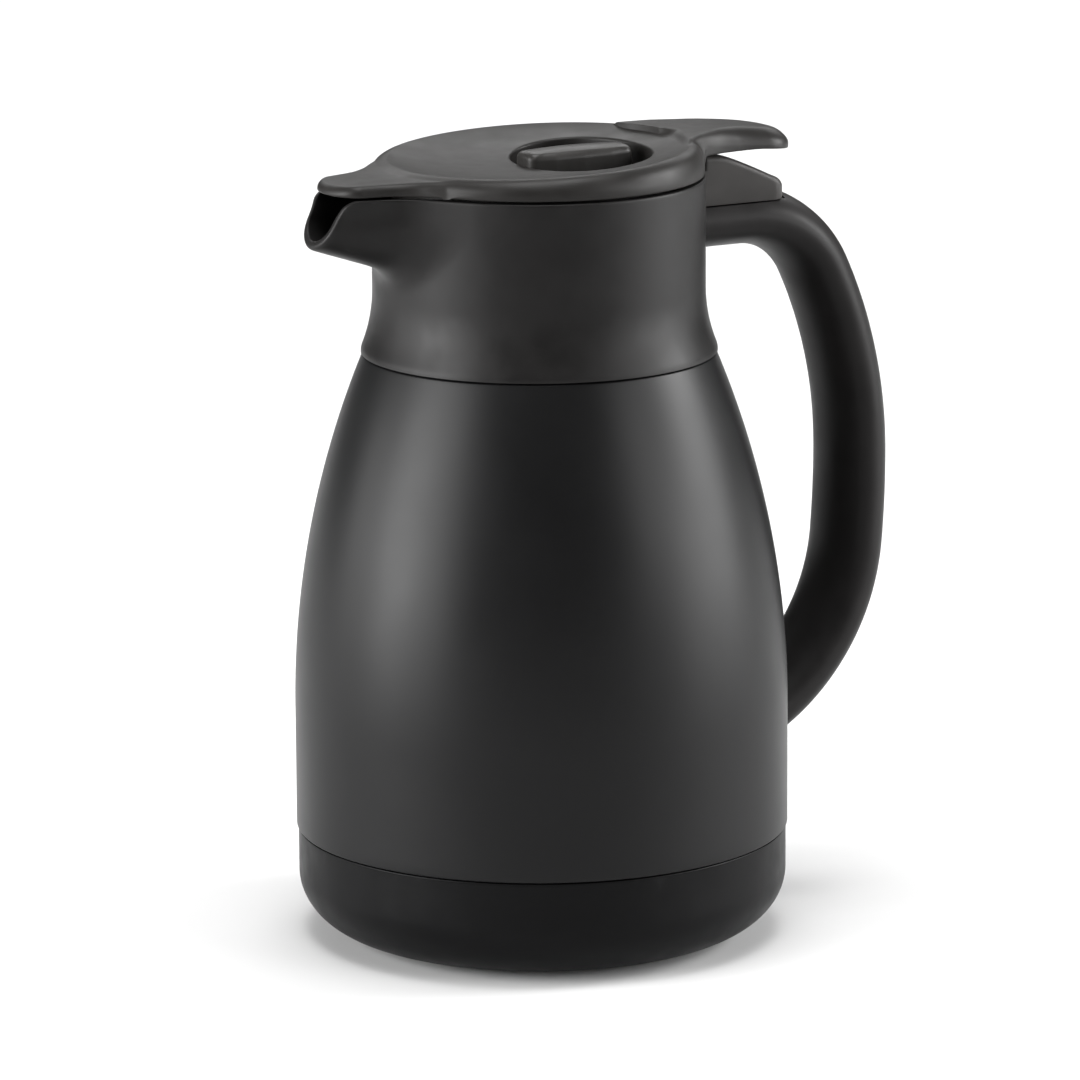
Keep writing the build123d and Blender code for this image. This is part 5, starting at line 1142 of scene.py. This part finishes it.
# %% Ends laid on collar and belly, seat for the hinge block, screw seats
ARM_END = 46.7
FOOT_END = 69.9
spots = np.empty(len(handle.data.vertices) * 3)
handle.data.vertices.foreach_get("co", spots)
spots = spots.reshape(-1, 3)
arm_end = (spots[:, 0] < 46.6 * MM) & (spots[:, 2] > 180 * MM)
spots[arm_end, 0] = np.sqrt((ARM_END * MM) ** 2 - spots[arm_end, 1] ** 2)
foot = np.array([path[-1][0], 0, path[-1][1]]) * MM
toward = np.array([cos(heading), 0, sin(heading)])
foot_end = np.abs((spots - foot) @ toward) < 0.9 * MM
for i in np.flatnonzero(foot_end & (spots[:, 2] < 100 * MM)):
    x, y, z = spots[i]
    move = (sqrt((FOOT_END * MM) ** 2 - y * y) - x) / toward[0]
    spots[i] += toward * move
handle.data.vertices.foreach_set("co", spots.ravel())
handle.data.update()
seat = block((40.0, -20.0, 206.0), (BLOCK_REAR + 0.8, 20.0, 214.0))
holes = [turned("screw_seat", [(3.1, low), (3.1, high)], segments=40, loop=False, centre=(x, 0.0))
         for x, low, high in ((54.0, 186.0, 195.4), (75.5, 38.0, 51.4))]
combined(handle, [seat] + holes)
dress(handle, "carafe", "handle_plastic", "handle_grain", "handle")

# %% [markdown]
# ## Carried-over solids
# Flask, plug, gaskets, spring, pin, bolts and screws keep their solids, as their shapes are right.
# Each solid's own material slots get the finish of its kind.

# %% Finishes on the solids that stay
looks = {
    "shell_bottom": "bare_steel", "vacuum_seal": "solder", "inner_flask": "flask_steel",
    "getter": "bare_steel", "mouth_seal": "silicone", "handle_bracket": "bare_steel",
    "handle_screws": "screw_steel", "hinge_pin": "screw_steel", "return_spring": "spring_steel",
    "plug_body": "plug_plastic", "plug_gasket": "silicone", "plug_insulation": "foam",
    "bolt_retainer": "plug_plastic", "retainer_screws": "screw_steel", "knob_seal": "silicone",
    "lock_cam": "slide_plastic", "cam_screw": "screw_steel", "lock_bolt_far": "slide_plastic",
    "lock_bolt_near": "slide_plastic",
}
for node, look in looks.items():
    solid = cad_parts[node]
    if not solid.material_slots:
        solid.data.materials.append(finishes[look])
    for place in solid.material_slots:
        place.material = finishes[look]
print("solids with a finish:", len(looks))

# %% [markdown]
# ## Stage, light and camera
# The carafe stands on pale paper, which soft lights overhead and one behind make white over the
# whole frame. Soft boxes to the left and to the right draw one long band each down the steel. All
# of these stand well to the side, so the space between the bands stays dark. The camera has a
# long lens from some way off, as in a catalogue.

# %% Floor
FLOOR_HALF = 14
PAPER_GREY = 0.57
floor_mesh = bpy.data.meshes.new("studio_floor")
floor_corners = [(-FLOOR_HALF, -FLOOR_HALF, 0), (FLOOR_HALF, -FLOOR_HALF, 0),
                 (FLOOR_HALF, FLOOR_HALF, 0), (-FLOOR_HALF, FLOOR_HALF, 0)]
floor_mesh.from_pydata(floor_corners, [], [(0, 1, 2, 3)])
paper = bpy.data.materials.new("pale_paper")
paper.use_nodes = True
paper_shader = paper.node_tree.nodes["Principled BSDF"]
paper_shader.inputs["Base Color"].default_value = (PAPER_GREY, PAPER_GREY, PAPER_GREY, 1)
paper_shader.inputs["Roughness"].default_value = 0.9
paper_shader.inputs["Specular IOR Level"].default_value = 0.1
floor_mesh.materials.append(paper)
floor = bpy.data.objects.new("studio_floor", floor_mesh)
bpy.context.scene.collection.objects.link(floor)

# %% Soft boxes and sky
VIEW_TURN = radians(28.0)
VIEW_TILT = radians(12.584)
ahead = Vector((sin(VIEW_TURN), cos(VIEW_TURN), 0))
aside = Vector((cos(VIEW_TURN), -sin(VIEW_TURN), 0))
BOX_DISTANCE = 2.0
AIM = Vector((0, 0, 0.12))
AIR_GLOW = 0.03
# Turn from the camera's side of the carafe and rise, in degrees, size in metres, and glow.
SOFT_BOXES = {
    "left_key": (-75, 5, (0.7, 0.7), 21.5),
    "left_above": (-75, 25, (0.7, 0.7), 11.0),
    "left_front": (-55, 15, (0.7, 1.4), 9.6),
    "left_rear": (-100, 5, (0.7, 0.7), 5.8),
    "right_key": (100, 25, (0.7, 0.7), 24.0),
    "right_low": (90, 5, (1.4, 0.7), 11.0),
    "right_front": (60, 18, (0.7, 1.0), 5.8),
    "overhead": (0, 90, (1.2, 1.2), 9.5),
    "overhead_front": (0, 62, (1.2, 0.9), 2.8),
    "behind": (180, 30, (2.4, 1.2), 3.4),
}


def soft_box(name, turn, rise, size, glow):
    """An area light of even glow that faces the carafe."""
    lamp = bpy.data.lights.new(name, "AREA")
    lamp.shape = "RECTANGLE"
    lamp.size, lamp.size_y = size
    lamp.energy = pi * size[0] * size[1] * glow
    holder = bpy.data.objects.new(name, lamp)
    level_way = -ahead * cos(radians(turn)) + aside * sin(radians(turn))
    toward = level_way * cos(radians(rise)) + Vector((0, 0, sin(radians(rise))))
    holder.location = AIM + toward * BOX_DISTANCE
    holder.rotation_euler = (-toward).to_track_quat("-Z", "Y").to_euler()
    bpy.context.scene.collection.objects.link(holder)
    return holder


boxes = {name: soft_box(name, *setting) for name, setting in SOFT_BOXES.items()}
# The one behind is there for the paper: it hangs over it and faces straight down.
boxes["behind"].location = ahead * 1.9 + Vector((0, 0, 1.2))
boxes["behind"].rotation_euler = (0, 0, -VIEW_TURN)
world = bpy.context.scene.world or bpy.data.worlds.new("studio_air")
bpy.context.scene.world = world
world.use_nodes = True
world.node_tree.nodes["Background"].inputs["Color"].default_value = (1, 1, 1, 1)
world.node_tree.nodes["Background"].inputs["Strength"].default_value = AIR_GLOW
bpy.context.scene.view_settings.view_transform = "Standard"
print("soft boxes:", ", ".join(boxes))

# %% Camera
CAMERA_PLACE = (-0.8921, -1.6775, 0.5369)
CAMERA_ROLL = radians(-0.352)
view = bpy.data.cameras.new("catalogue_view")
view.lens = 228.6
view.sensor_width = 36.0
view.clip_end = 50.0
camera = bpy.data.objects.new("catalogue_view", view)
camera.location = CAMERA_PLACE
sight = Vector((ahead.x * cos(VIEW_TILT), ahead.y * cos(VIEW_TILT), -sin(VIEW_TILT)))
facing = sight.to_track_quat("-Z", "Y").to_matrix()
camera.rotation_euler = (facing @ Matrix.Rotation(CAMERA_ROLL, 3, "Z")).to_euler()
bpy.context.scene.collection.objects.link(camera)
bpy.context.scene.camera = camera
print("camera", round(camera.location.length, 2), "m from the carafe")
